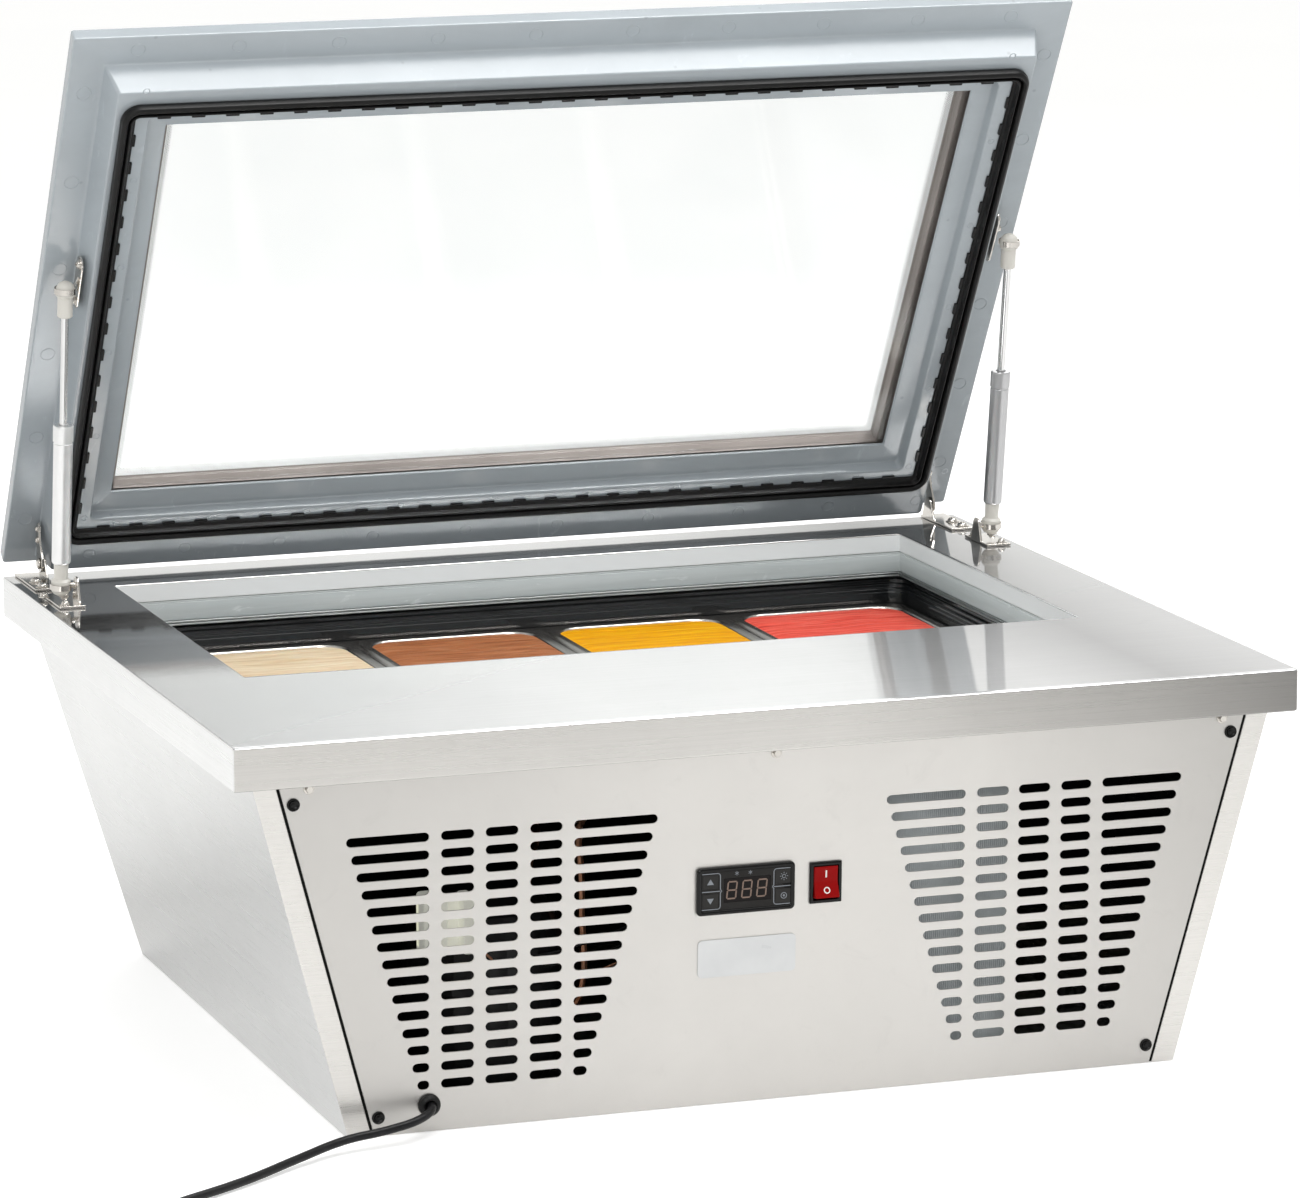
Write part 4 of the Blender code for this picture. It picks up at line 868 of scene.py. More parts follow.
# ------------------------------------------------ cabinet
def worktop():
    """One folded sheet: top, rim, flange under the rim and the fold round the opening."""
    half, front, rear = OPENING
    low = RIM_UNDER
    fold = TOP - 0.015
    t = SHEET
    ret = (0.384, -0.320, 0.304)
    out = (HALF_W, -HALF_D, HALF_D)
    section = [
        (half, front, rear, fold, 0.0008),
        (half, front, rear, TOP, 0.0012),
        (*out, TOP, 0.0020),
        (*out, low, 0.0020),
        (*ret, low, 0.0010),
        (*ret, low + t, 0.0010),
        (out[0] - t, out[1] + t, out[2] - t, low + t, 0.0012),
        (out[0] - t, out[1] + t, out[2] - t, TOP - t, 0.0012),
        (half + t, front - t, rear + t, TOP - t, 0.0012),
        (half + t, front - t, rear + t, fold, 0.0012),
    ]
    rings = [ring(-x, x, y0, y1, z, r, 3) for x, y0, y1, z, r in filleted(section, 0.0016, 4)]
    show(loft("worktop_sheet", rings, closed=True), WORKTOP_STEEL, "cabinet", ["worktop"])


def slot_loop(x0, x1, y):
    """A punched slot with round ends."""
    points = []
    steps = 6
    for centre, start in ((x1 - SLOT_HALF, -90), (x0 + SLOT_HALF, 90)):
        for step in range(steps + 1):
            angle = radians(start + 180 * step / steps)
            points.append((centre + SLOT_HALF * cos(angle), y + SLOT_HALF * sin(angle)))
    return points


def grille(sign, columns):
    """Slots of one grille: three short columns between two that taper towards the middle."""
    found = []
    first = min(x for x, _ in columns)
    last = max(x for _, x in columns)
    for row in range(SLOT_ROWS):
        share = row / (SLOT_ROWS - 1)
        y = SLOT_TOP - row * SLOT_PITCH
        outer = SLOT_OUTER[0] + (SLOT_OUTER[1] - SLOT_OUTER[0]) * share
        inner = SLOT_INNER[0] + (SLOT_INNER[1] - SLOT_INNER[0]) * share
        ends = sorted((sign * outer, sign * inner))
        found.append((ends[0], first - SLOT_GAP, y))
        found.append((last + SLOT_GAP, ends[1], y))
        found.extend((x0, x1, y) for x0, x1 in columns)
    return found


def front_panel():
    """Plate with rounded edges, both grilles and the holes for the controls and the cord."""
    outline = [
        (-PANEL_BOTTOM_HALF, 0), (PANEL_BOTTOM_HALF, 0),
        (PANEL_TOP_HALF, PANEL_TOP), (-PANEL_TOP_HALF, PANEL_TOP),
    ]
    slots = grille(-1, LEFT_SLOTS) + grille(1, RIGHT_SLOTS)
    loops = [outline]
    loops.extend(slot_loop(*slot) for slot in slots)
    for node, inset in (("controller_bezel", 0.003), ("rocker_housing", 0.0018)):
        x, y, wide, tall = front_span(node)
        loops.append(rounded_rect(x, y, wide - 2 * inset, tall - 2 * inset, 0.0005, 2))
    x, y, _, _ = front_span("cable_grommet")
    loops.append(circle(x, y, 0.0068))
    made = plate("front_sheet", loops, SHEET, FRONT, 0.00035)
    show(made, PANEL_STEEL, "cabinet", ["front_panel"])


def panel_half(z):
    """Half the front panel's width at a height."""
    share = z / PANEL_HIGH.z
    return PANEL_BOTTOM_HALF + (PANEL_TOP_HALF - PANEL_BOTTOM_HALF) * share


def side_panels():
    """Walls whose front flange is flush with the front panel and steps back behind its edge."""
    for tag, side in SIDES:
        node = tag + "_side_panel"
        low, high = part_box(node)
        rear_low = 0.2580
        wall_low = 0.3228
        flange = 0.034
        rings = []
        for z in (0.0, high.z):
            share = z / high.z
            wall = wall_low + (max(abs(low.x), abs(high.x)) - wall_low) * share
            rear = rear_low + (high.y - rear_low) * share
            face = FRONT_Y - z * PRESS.z / PRESS.y
            behind = face + SHEET + GAP
            strip = panel_half(z) + 0.0021
            plan = (
                (wall, face), (wall, rear), (wall - flange, rear), (wall - flange, rear - SHEET),
                (wall - SHEET, rear - SHEET), (wall - SHEET, face + SHEET), (strip + SHEET, face + SHEET),
                (strip + SHEET, behind + SHEET), (wall - flange, behind + SHEET), (wall - flange, behind),
                (strip, behind), (strip, face),
            )
            plan = rounded_plan(plan, 0.0009)
            rings.append([Vector((side * x, y, z)) for x, y in plan])
        show(loft(tag + "_side_sheet", rings), SIDE_STEEL, "cabinet", [node])


def dark_gap_fillers():
    """Black strip at the bottom of the gap beside each edge of the front panel: a painted shadow, a dark
    piece that stands in for the shade in the gap.
    """
    for tag, side in SIDES:
        rings = []
        for z in (0.0005, PANEL_HIGH.z - 0.0003):
            face = FRONT_Y - z * PRESS.z / PRESS.y
            edge = panel_half(z)
            x0, x1 = sorted((side * (edge + 0.0001), side * (edge + 0.0020)))
            rings.append(ring(x0, x1, face + 0.0006, face + SHEET + 0.0001, z))
        # Painted shadow: a black strip where the gap is only in shade.
        show(loft("gap_shade_" + tag, rings), DARK_SKIN_AND_SHADE, "cabinet")


def rounded_plan(plan, size):
    """Rounds every corner of a plan a little."""
    section = [(x, y, 0.0) for x, y in plan]
    return [(x, y) for x, y, _ in filleted(section, size, 3)]


def screw_cap(name, x, y, radius):
    """Black snap-in plug with a raised rim and a dished face."""
    profile = (
        (radius, 0.0), (radius, 0.0007), (radius * 0.93, 0.0013), (radius * 0.80, 0.0013),
        (radius * 0.62, 0.0003), (radius * 0.30, -0.0003), (radius * 0.26, 0.0006), (0.0002, 0.0008),
    )
    return lathe(name, profile, on_front(x, y, 0.0001), 32)


def hex_screw(name, matrix, radius=0.0042, washer=0.0056):
    """Hex head on a washer."""
    disc = lathe(name + "_washer", ((washer, 0), (washer, 0.0007), (washer * 0.95, 0.0009)), matrix, 28)
    head = lathe(name + "_head", ((radius, 0.0008), (radius, 0.0028), (radius * 0.86, 0.0034)), matrix, 6)
    return merged(name, [disc, head])


def panel_screws():
    """Black plugs in the panel's corners and small hex screws under the rim."""
    for index, (x, y) in enumerate(SCREW_HOLES):
        for tag, side in SIDES:
            name = f"screw_cap_{tag}_{index + 1}"
            show(screw_cap(name, side * x, y, 0.0048), CAP, "cabinet")
    for index, x in enumerate(RIM_SCREWS):
        matrix = FRONT @ Matrix.Translation((x, 0.2618, 0.0002))
        show(hex_screw(f"rim_screw_{index + 1}", matrix, 0.0030, 0.0040), NICKEL, "cabinet")


def rear_details():
    """A row of screws along the top and the bottom of the rear panel."""
    low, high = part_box("rear_panel")
    lean = atan2(high.y - low.y - SHEET, high.z - low.z)
    count = 5
    margin = 0.012
    for index in range(2 * count):
        upper = index >= count
        z = high.z - margin if upper else margin
        half = 0.374 if upper else 0.306
        x = -half + 2 * half * (index % count) / (count - 1)
        y = low.y + SHEET + (high.y - low.y - SHEET) * z / high.z
        matrix = Matrix.Translation((x, y, z)) @ Matrix.Rotation(-pi / 2 - lean, 4, "X")
        show(hex_screw(f"rear_screw_{index + 1}", matrix), NICKEL, "cabinet")


# ------------------------------------------------ opening
def opening(offset, z, radius, steps):
    """A ring round the serving opening."""
    half, front, rear = OPENING
    return ring(-half - offset, half + offset, front - offset, rear + offset, z, radius, steps)


def opening_section(points, size):
    """Rings round the opening from (offset, height) pairs, with rounded folds."""
    section = [(offset, z, 0.0) for offset, z in points]
    return [opening(offset, z, max(offset, 0.0008), 4) for offset, z, _ in filleted(section, size, 3)]


def throat():
    """Plastic collar with a bead along its upper edge, and the metal band with a fine bead."""
    low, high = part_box("throat_frame")
    points = (
        (0.0006, low.z), (0.0006, high.z - 0.0022), (0.0012, high.z - 0.0018), (0.0006, high.z - 0.0012),
        (0.0008, high.z), (0.0034, high.z), (0.0034, low.z + 0.002), (0.026, low.z + 0.002), (0.026, low.z),
    )
    rings = opening_section(points, 0.0005)
    show(loft("throat_collar", rings, closed=True), THROAT, "cabinet", ["throat_frame"])
    low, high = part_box("throat_trim")
    middle = (low.z + high.z) / 2
    points = (
        (0.0, low.z), (-0.0006, low.z + 0.0007), (0.0, middle - 0.0003), (0.0009, middle),
        (0.0, middle + 0.0003), (-0.0006, high.z - 0.0007), (0.0, high.z), (0.024, high.z), (0.024, low.z),
    )
    rings = opening_section(points, 0.0003)
    show(loft("throat_band", rings, closed=True), TRIM, "cabinet", ["throat_trim"])


def liner():
    """Vacuum-formed tub: ribbed shoulder, ledge and deep pocket, inside and outside faces."""
    low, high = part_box("inner_liner")
    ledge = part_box("pan_rack")[0].z - GAP
    floor = low.z + 0.002
    shoulder = [(0.024, high.z), (0.0085, high.z), (0.0085, 0.2598), (0.0062, 0.2592), (0.0062, 0.2562)]
    shoulder += [(0.0040, 0.2556), (0.0040, 0.2526), (0.0022, 0.2520), (0.0022, 0.2494), (0.0016, 0.2488)]
    shoulder += [(0.0016, ledge)]
    section = [(offset, z, 0.0) for offset, z in shoulder]
    rings = []
    for offset, z, _ in filleted(section, 0.0007, 3, False):
        rings.append(opening(offset, z, 0.012 + offset * 0.5, 8))
    half, front, rear = (0.3255, -0.0925, 0.2615)
    wall = 0.0015
    for inset, z, radius in (
        (0.0, ledge, 0.022), (0.001, floor + 0.012, 0.022), (0.010, floor, 0.014),
        (0.010, floor - wall, 0.014), (-wall, floor + 0.012, 0.024), (-wall, ledge - wall, 0.024),
    ):
        rings.append(ring(-half + inset, half - inset, front + inset, rear - inset, z, radius, 8))
    for offset, z, radius in (
        (0.0016 + wall, ledge - wall, 0.014), (0.0100, 0.2480, 0.018), (0.0100, high.z - wall, 0.018),
        (0.024, high.z - wall, 0.024),
    ):
        rings.append(opening(offset, z, radius, 8))
    show(tub("liner_tub", rings), LINER, "cabinet", ["inner_liner"])


def tub(name, rings):
    """A loft that closes on itself round the tub's rim and stays capped at its two floors."""
    mesh = bmesh.new()
    loops = add_loops(mesh, rings)
    floor_pair = min(range(len(rings) - 1), key=lambda i: rings[i][0].z + rings[i + 1][0].z)
    pairs = [(loops[i], loops[i + 1]) for i in range(len(loops) - 1) if i != floor_pair]
    pairs.append((loops[-1], loops[0]))
    mesh.faces.new(loops[floor_pair])
    mesh.faces.new(loops[floor_pair + 1])
    bridge(mesh, pairs)
    return solid(name, mesh)


def rack():
    """Plate under the pans' rims with one cut-out for each pan."""
    low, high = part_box("pan_rack")
    loops = [rounded_rect(0, (low.y + high.y) / 2, high.x - low.x - 0.001, high.y - low.y, 0.012, 6)]
    for index in range(4):
        inner_low, inner_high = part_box(f"pan_{index + 1}")
        size = (inner_high.x - inner_low.x - 0.017, inner_high.y - inner_low.y - 0.017)
        middle = (inner_low + inner_high) / 2
        loops.append(rounded_rect(middle.x, middle.y, *size, 0.010, 5))
    matrix = Matrix.Translation((0, 0, high.z))
    show(plate("rack_plate", loops, high.z - low.z, matrix, 0.0004), PAN_STEEL, "cabinet", ["pan_rack"])


def pans():
    """The four pans and what fills them."""
    for index in range(4):
        pan(index)
        ice(index)


def pan(index):
    """Deep-drawn pan with a rolled rim and a fine bead inside it."""
    node = f"pan_{index + 1}"
    low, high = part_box(node)
    x = (low.x + high.x) / 2
    y = (low.y + high.y) / 2
    half_x = (high.x - low.x) / 2
    half_y = (high.y - low.y) / 2
    rows = (
        (0.0230, -0.1200, 0.016), (0.0178, -0.1140, 0.021), (0.0090, -0.0012, 0.020),
        (0.0014, -0.0012, 0.012), (0.0002, -0.0030, 0.013), (-0.0002, -0.0016, 0.013),
        (0.0012, -0.0001, 0.012), (0.0030, 0.0000, 0.014), (0.0078, -0.0004, 0.019),
        (0.0092, -0.0014, 0.020), (0.0104, -0.0044, 0.021), (0.0188, -0.1130, 0.020),
        (0.0240, -0.1188, 0.015),
    )
    rings = []
    for inset, depth, radius in rows:
        a = half_x - inset
        b = half_y - inset
        rings.append(ring(x - a, x + a, y - b, y + b, high.z + depth, radius, 7))
    show(loft(node + "_drawn", rings, angle=50), PAN_STEEL, node, [node])


def corner_round(u, v, half_x, half_y, radius):
    """Maps a point of a square, -1 to 1 each way, into a rectangle with rounded corners."""
    x = u * half_x
    y = v * half_y
    a = (abs(x) - half_x + radius) / radius
    b = (abs(y) - half_y + radius) / radius
    if a > 0 and b > 0:
        x = (half_x - radius + radius * a * sqrt(1 - b * b / 2)) * (1 if x > 0 else -1)
        y = (half_y - radius + radius * b * sqrt(1 - a * a / 2)) * (1 if y > 0 else -1)
    return x, y


def ice(index):
    """Filled surface with spatula ripples that run across the pan."""
    node = f"ice_cream_{index + 1}"
    low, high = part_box(node)
    middle = (low + high) / 2
    pan_low, pan_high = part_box(f"pan_{index + 1}")
    rim = 0.0094
    half_x = (pan_high.x - pan_low.x) / 2 - rim
    half_y = (pan_high.y - pan_low.y) / 2 - rim
    columns = 40
    rows = 150
    mesh = bmesh.new()
    grid = []
    for j in range(rows + 1):
        line = []
        for i in range(columns + 1):
            u = -1 + 2 * i / columns
            v = -1 + 2 * j / rows
            x, y = corner_round(u, v, half_x, half_y, 0.021)
            rise = ice_height(middle.x + x, middle.y + y, index)
            edge = min(1.0, (1 - max(abs(u), abs(v))) * 9)
            z = pan_high.z - 0.0020 + rise * (0.35 + 0.65 * edge) + 0.0010 * edge
            line.append(mesh.verts.new((middle.x + x, middle.y + y, z)))
        grid.append(line)
    for j in range(rows):
        for i in range(columns):
            mesh.faces.new((grid[j][i], grid[j][i + 1], grid[j + 1][i + 1], grid[j + 1][i]))
    border = grid[0] + [line[-1] for line in grid[1:]]
    border += grid[-1][-2::-1] + [line[0] for line in grid[-2:0:-1]]
    deep = []
    for vertex in border:
        x = middle.x + (vertex.co.x - middle.x) * 0.87
        y = middle.y + (vertex.co.y - middle.y) * 0.94
        deep.append(mesh.verts.new((x, y, low.z)))
    bridge(mesh, [(border, deep)])
    mesh.faces.new(deep)
    show(solid(f"frozen_mass_{index + 1}", mesh, angle=70), FLAVOURS[index], f"pan_{index + 1}", [node])


def ice_height(x, y, index):
    """Height of the ripples over the mean surface."""
    bend = 0.004 * noise.noise(Vector((x * 14, y * 6, index * 3.1)))
    coarse = noise.noise(Vector((x * 7 + index * 5, (y + bend) * 150, 2.0)))
    fine = noise.noise(Vector((x * 22, (y + bend) * 420, index * 2.0)))
    swell = noise.noise(Vector((x * 20, y * 14, 4.0 + index)))
    return 0.00085 * coarse + 0.00030 * fine + 0.0010 * swell


# ------------------------------------------------ lid
def lid_ring(half, near, far, n, radius, steps):
    """A ring on the shut lid's underside: near and far from its hinge edge, n deep from the flange."""
    y0 = LID_HIGH.y - far
    y1 = LID_HIGH.y - near
    return ring(-half, half, y0, y1, FLANGE_Z - n, radius, steps)


def lid_frame():
    """Moulded frame: flange, raised inner frame with sloping sides, glazing lip and rebate."""
    half = LID_HIGH.x
    length = LID_HIGH.y - LID_LOW.y
    top = -LID_TOP
    pane_low, pane_high = local_box("lid_glass_inner", LID)
    near = LID_HIGH.y - pane_high.y - GAP
    far = LID_HIGH.y - pane_low.y + GAP
    rebate = (pane_high.x + GAP, near, far)
    section = [
        (half, 0, length, 0, 0.0020),
        (0.3802, 0.0050, 0.4965, 0.0000, 0.0020),
        (0.3742, 0.0118, 0.4887, PLATEAU, 0.0030),
        (0.3474, 0.0626, 0.4644, PLATEAU, 0.0050),
        (0.3458, 0.0642, 0.4628, 0.0172, 0.0045),
        (0.3446, 0.0654, 0.4616, 0.0168, 0.0045),
        (*LIP_EDGE, 0.0155, 0.0010),
        (*LIP_EDGE, LIP_DEPTH, 0.0010),
        (*rebate, LIP_DEPTH, 0.0012),
        (*rebate, top, 0.0012),
        (half - 0.0002, 0.0002, length - 0.0002, top, 0.0020),
    ]
    rings = [lid_ring(*row, 4) for row in filleted(section, 0.0012, 4)]
    show(loft("lid_moulding", rings, LID, closed=True), LID_PLASTIC, "lid", ["lid_frame"])


def circle_mark(mesh, x, s, n, radius):
    """A raised hair-line ring left by an ejector pin."""
    base = FLANGE_Z - n
    rows = ((radius, 0.0), (radius - 0.0002, -0.00035), (radius - 0.0006, -0.00035), (radius - 0.0008, 0.0))
    rings = []
    for r, dz in rows:
        y = LID_HIGH.y - s
        rings.append([Vector((x + r * cos(a), y + r * sin(a), base + dz)) for a in turn(28)])
    join_rings(mesh, rings, closed=True)


def ejector_marks():
    """The pins' rings in rows along the flange and the raised frame."""
    mesh = bmesh.new()
    half = LID_HIGH.x
    for k in range(10):
        x = -0.355 + 0.079 * k
        circle_mark(mesh, x, 0.5095, 0.0, 0.0058)
        circle_mark(mesh, x + 0.011, 0.0265, PLATEAU, 0.0052)
        circle_mark(mesh, x + 0.030, 0.0574, PLATEAU, 0.0030)
    for k in range(6):
        s = 0.045 + 0.085 * k
        for side in (-1, 1):
            circle_mark(mesh, side * (half - 0.0135), s, 0.0, 0.0060)
            circle_mark(mesh, side * 0.3525, s + 0.02, PLATEAU, 0.0028)
    show(solid("ejector_marks", mesh, LID), LID_PLASTIC, "lid")


GASKET_WIDTH = 0.0122


def gasket():
    """Double bead with a groove between, clipped under a flat tongue along its inner edge."""
    bottom = PLATEAU + 0.0001
    outer = (0.3700, 0.0425, 0.4780)
    section = (
        (0.0000, 0.0000), (-0.0006, 0.0030), (0.0002, 0.0068), (0.0026, 0.0082), (0.0048, 0.0070),
        (0.0056, 0.0030), (0.0062, 0.0030), (0.0070, 0.0066), (0.0084, 0.0066), (0.0094, 0.0026),
        (0.0118, 0.0018), (GASKET_WIDTH, 0.0),
    )
    points = filleted([(inset, depth, 0.0) for inset, depth in section], 0.0009, 3)
    rings = []
    for inset, depth, _ in points:
        a, b, c = outer
        rings.append(lid_ring(a - inset, b + inset, c - inset, bottom + depth, 0.0145 - inset, 12))
    show(loft("gasket_bead", rings, LID, closed=True, angle=60), SEAL, "lid", ["lid_gasket"])
    show(gasket_tabs(outer, bottom), SEAL, "lid")


def gasket_tabs(outer, bottom):
    """Tongues of the gasket's clip, spaced along its inner edge."""
    half, near, far = outer
    reach = GASKET_WIDTH
    mesh = bmesh.new()
    pitch = 0.0262
    length = 0.0105
    corner = 0.034
    for horizontal, span, lines in (
        (True, half - corner, (near + reach, far - reach)),
        (False, (far - near) / 2 - corner, (-half + reach, half - reach)),
    ):
        count = int(2 * span / pitch)
        for line in lines:
            inward = 1 if line in (near + reach, -half + reach) else -1
            for k in range(count + 1):
                at = -span + k * 2 * span / count
                low = line - inward * 0.001
                high = line + inward * 0.0016
                if horizontal:
                    corners = (at - length / 2, at + length / 2, LID_HIGH.y - low, LID_HIGH.y - high)
                else:
                    middle = LID_HIGH.y - (near + far) / 2
                    corners = (low, high, middle + at - length / 2, middle + at + length / 2)
                x0, x1 = sorted(corners[:2])
                y0, y1 = sorted(corners[2:])
                z = FLANGE_Z - bottom
                rings = [ring(x0, x1, y0, y1, z, 0.0004, 2), ring(x0, x1, y0, y1, z - 0.0015, 0.0004, 2)]
                join_rings(mesh, rings)
    return solid("gasket_tabs", mesh, LID)


def glazing():
    """Two panes and the bar between them."""
    for node, finish in (("lid_glass_inner", PANE), ("lid_glass_outer", DOT_PANE)):
        low, high = local_box(node, LID)
        rows = ((0.0006, low.z), (0.0, low.z + 0.0006), (0.0, high.z - 0.0006), (0.0006, high.z))
        rings = []
        for inset, z in rows:
            span = (low.x + inset, high.x - inset, low.y + inset, high.y - inset)
            rings.append(ring(*span, z, 0.002, 3))
        show(loft(node.replace("lid_glass", "pane"), rings, LID), finish, "lid", [node])
    low, high = local_box("lid_glass_spacer", LID)
    inner = 0.0272
    section = [
        (0.0, low.z, 0.0), (0.0, high.z, 0.0), (inner, high.z, 0.0), (inner, high.z - 0.0030, 0.0),
        (inner - 0.0007, high.z - 0.0036, 0.0), (inner - 0.0007, low.z + 0.0036, 0.0),
        (inner, low.z + 0.0030, 0.0), (inner, low.z, 0.0),
    ]
    rings = []
    for inset, z, _ in filleted(section, 0.0005, 2):
        rings.append(ring(low.x + inset, high.x - inset, low.y + inset, high.y - inset, z, 0.001, 2))
    show(loft("spacer_bar", rings, LID, closed=True), SPACER, "lid", ["lid_glass_spacer"])


# ------------------------------------------------ hinges and struts
def dome_screw(name, matrix, radius=0.0042, height=0.0028):
    """Domed head on a thin washer, with a cross recess."""
    profile = [(radius * 1.35, 0), (radius * 1.35, 0.0006), (radius, 0.0007)]
    for step in range(6):
        angle = radians(15 * step)
        profile.append((radius * cos(angle), 0.0008 + height * sin(angle)))
    profile.append((0.0002, 0.0008 + height))
    made = lathe(name, profile, matrix, 24)
    level = height * 0.45
    size = radius * 0.62
    for quarter in (0, pi / 2):
        spun = matrix @ Matrix.Rotation(quarter + 0.5, 4, "Z")
        rows = [ring(-size, size, -0.0005, 0.0005, z) for z in (level, height + 0.003)]
        made = carve(made, loft(name + "_cut", rows, spun))
    return made


def hinge_screws():
    """Domed screws of the hinge bases, and a curved horn that carries the lid from each pivot."""
    for tag, side in SIDES:
        for index, y in enumerate((0.281, 0.303)):
            matrix = Matrix.Translation((side * 0.3925, y, BASE_TOP))
            show(dome_screw(f"hinge_screw_{tag}_{index + 1}", matrix), NICKEL, "cabinet")
        show(horn(tag, side), NICKEL, "lid", ["hinge_leaf_" + tag])
        for index, (y, z) in enumerate(((-0.0130, 0.0140), (-0.0210, 0.0185))):
            outward = Matrix.Rotation(side * pi / 2, 4, "Y")
            matrix = LID @ Matrix.Translation((side * 0.3836, y, z)) @ outward
            show(dome_screw(f"horn_rivet_{tag}_{index + 1}", matrix, 0.0022, 0.0012), NICKEL, "lid")


def horn(tag, side):
    """Plate on edge: round about the pin, sweeping up along the side of the raised frame."""
    outline = [(0.0072 * cos(a), 0.0072 * sin(a)) for a in [radians(-110 + 20 * k) for k in range(10)]]
    outline += [(-0.0040, 0.0120), (-0.0075, 0.0170), (-0.0125, 0.0205), (-0.0180, 0.0222), (-0.0235, 0.0222)]
    outline += [(-0.0255, 0.0200), (-0.0250, 0.0170), (-0.0215, 0.0150), (-0.0175, 0.0120), (-0.0145, 0.0080)]
    outline += [(-0.0115, 0.0020), (-0.0080, -0.0040)]
    rings = []
    for x, shrink in ((0.38165, 0.96), (0.38185, 1.0), (0.38335, 1.0), (0.38355, 0.96)):
        rings.append([Vector((side * x, y * shrink, z * shrink)) for y, z in outline])
    return loft("hinge_horn_" + tag, rings, LID, angle=30)


def strut_frame(tag):
    """Matrix with local Z along the strut from its lower ball."""
    ball = Vector(JOINTS[tag + "_strut_swing"]["pos_m"])
    along = Vector(JOINTS[tag + "_rod_slide"]["axis"])
    lean = atan2(-along.y, along.z)
    return Matrix.Translation(ball) @ Matrix.Rotation(lean, 4, "X")


def strut(tag, side):
    """Gas spring: crimped tube with a closing cap, a plastic neck and cup at each end, and a chromed rod."""
    matrix = strut_frame(tag)
    tube = tag + "_strut_tube"
    rod = tag + "_strut_rod"
    end = local_box("strut_tube_" + tag, matrix)[1].z
    r = 0.0075
    tube_rows = (
        (0.0034, 0.0185), (r - 0.0016, 0.0185), (r - 0.0005, 0.0192), (r, 0.0205), (r, end - 0.0150),
        (r - 0.0004, end - 0.0146), (r - 0.0004, end - 0.0138), (r + 0.0004, end - 0.0132),
        (r + 0.0004, end - 0.0012), (r - 0.0002, end - 0.0002), (0.0042, end), (0.0038, end - 0.0015),
        (0.0034, end - 0.0015),
    )
    # The right strut's tube takes the darker copy of the finish: painted shade.
    finish = SATIN if side < 0 else SHADED_SATIN
    made = lathe("strut_tube_shell_" + tag, tube_rows, matrix, 40, closed=True)
    show(made, finish, tube, ["strut_tube_" + tag])
    neck_rows = (
        (0.0022, 0.0200), (0.0022, 0.0190), (0.0056, 0.0188), (0.0058, 0.0180), (0.0054, 0.0076),
        (0.0056, 0.0062), (0.0076, 0.0046), (0.0078, 0.0), (0.0074, -0.0036), (0.0058, -0.0060),
        (0.0030, -0.0076), (0.0006, -0.0080),
    )
    show(lathe("strut_cup_low_" + tag, neck_rows, matrix, 32), CUP, tube)
    show(clip_band("strut_clip_low_" + tag, matrix, side, 0.0), NICKEL, tube)
    length = local_box("strut_rod_" + tag, matrix)[1].z - 0.0088
    rod_rows = ((0.0030, end - 0.012), (0.0030, length - 0.018), (0.0028, length - 0.0178))
    show(lathe("strut_rod_bar_" + tag, rod_rows, matrix, 28), CHROME, rod, ["strut_rod_" + tag])
    cup_rows = [(0.0006, length - 0.0215), (0.0052, length - 0.0215), (0.0060, length - 0.0205)]
    cup_rows += [(0.0060, length - 0.0052), (0.0074, length - 0.0042), (0.0078, length - 0.0010)]
    for step in range(1, 6):
        angle = radians(18 * step)
        cup_rows.append((max(0.0078 * cos(angle), 0.0004), length - 0.0006 + 0.0082 * sin(angle)))
    show(lathe("strut_cup_high_" + tag, cup_rows, matrix, 32), CUP, rod)
    show(clip_band("strut_clip_high_" + tag, matrix, side, length), NICKEL, rod)


def clip_band(name, matrix, side, height):
    """Sprung band that locks a cup on its ball, open towards the middle of the cabinet."""
    rings = []
    arc = [radians(35 + 290 * k / 28) for k in range(29)]
    outline = [(angle, 0.0082) for angle in arc] + [(angle, 0.0088) for angle in reversed(arc)]
    for z in (height - 0.0022, height + 0.0022):
        rings.append([Vector((-side * r * cos(a), r * sin(a), z)) for a, r in outline])
    return loft(name, rings, matrix)


def strut_feet():
    """Arched ear on a small plate: ball stud across, three domed nuts on the plate."""
    for tag, side in SIDES:
        ball = Vector(JOINTS[tag + "_strut_swing"]["pos_m"])
        round_edges("strut_foot_" + tag, 0.0004)
        for index, (dx, dy) in enumerate(((0.0030, -0.0195), (0.0105, 0.0190), (-0.0060, 0.0190))):
            matrix = Matrix.Translation((side * (0.3915 + dx), ball.y + dy, BASE_TOP))
            show(dome_screw(f"foot_nut_{tag}_{index + 1}", matrix, 0.0032, 0.0030), NICKEL, "cabinet")


def strut_brackets():
    """Long oval plate on the raised frame's side, two screws, and an arm out to the ball."""
    for tag, side in SIDES:
        node = "strut_bracket_" + tag
        low, high = local_box(node, LID)
        y = (low.y + high.y) / 2
        z = FLANGE_Z - 0.0125
        matrix = LID @ Matrix.Translation((side * 0.3812, y, z)) @ Matrix.Rotation(side * pi / 2, 4, "Y")
        loops = [rounded_rect(0, 0, 0.0150, 0.0480, 0.0074, 8)]
        body = plate("bracket_oval", loops, 0.0016, matrix @ Matrix.Translation((0, 0, 0.0006)), 0.0004, 2)
        arm = arm_piece(matrix)
        show(merged("bracket_plate_" + tag, [body, arm]), NICKEL, "lid", [node])
        for index, offset in enumerate((-0.0175, 0.0175)):
            spot = matrix @ Matrix.Translation((0, offset, 0.0006))
            show(dome_screw(f"bracket_screw_{tag}_{index + 1}", spot, 0.0036, 0.0022), NICKEL, "lid")


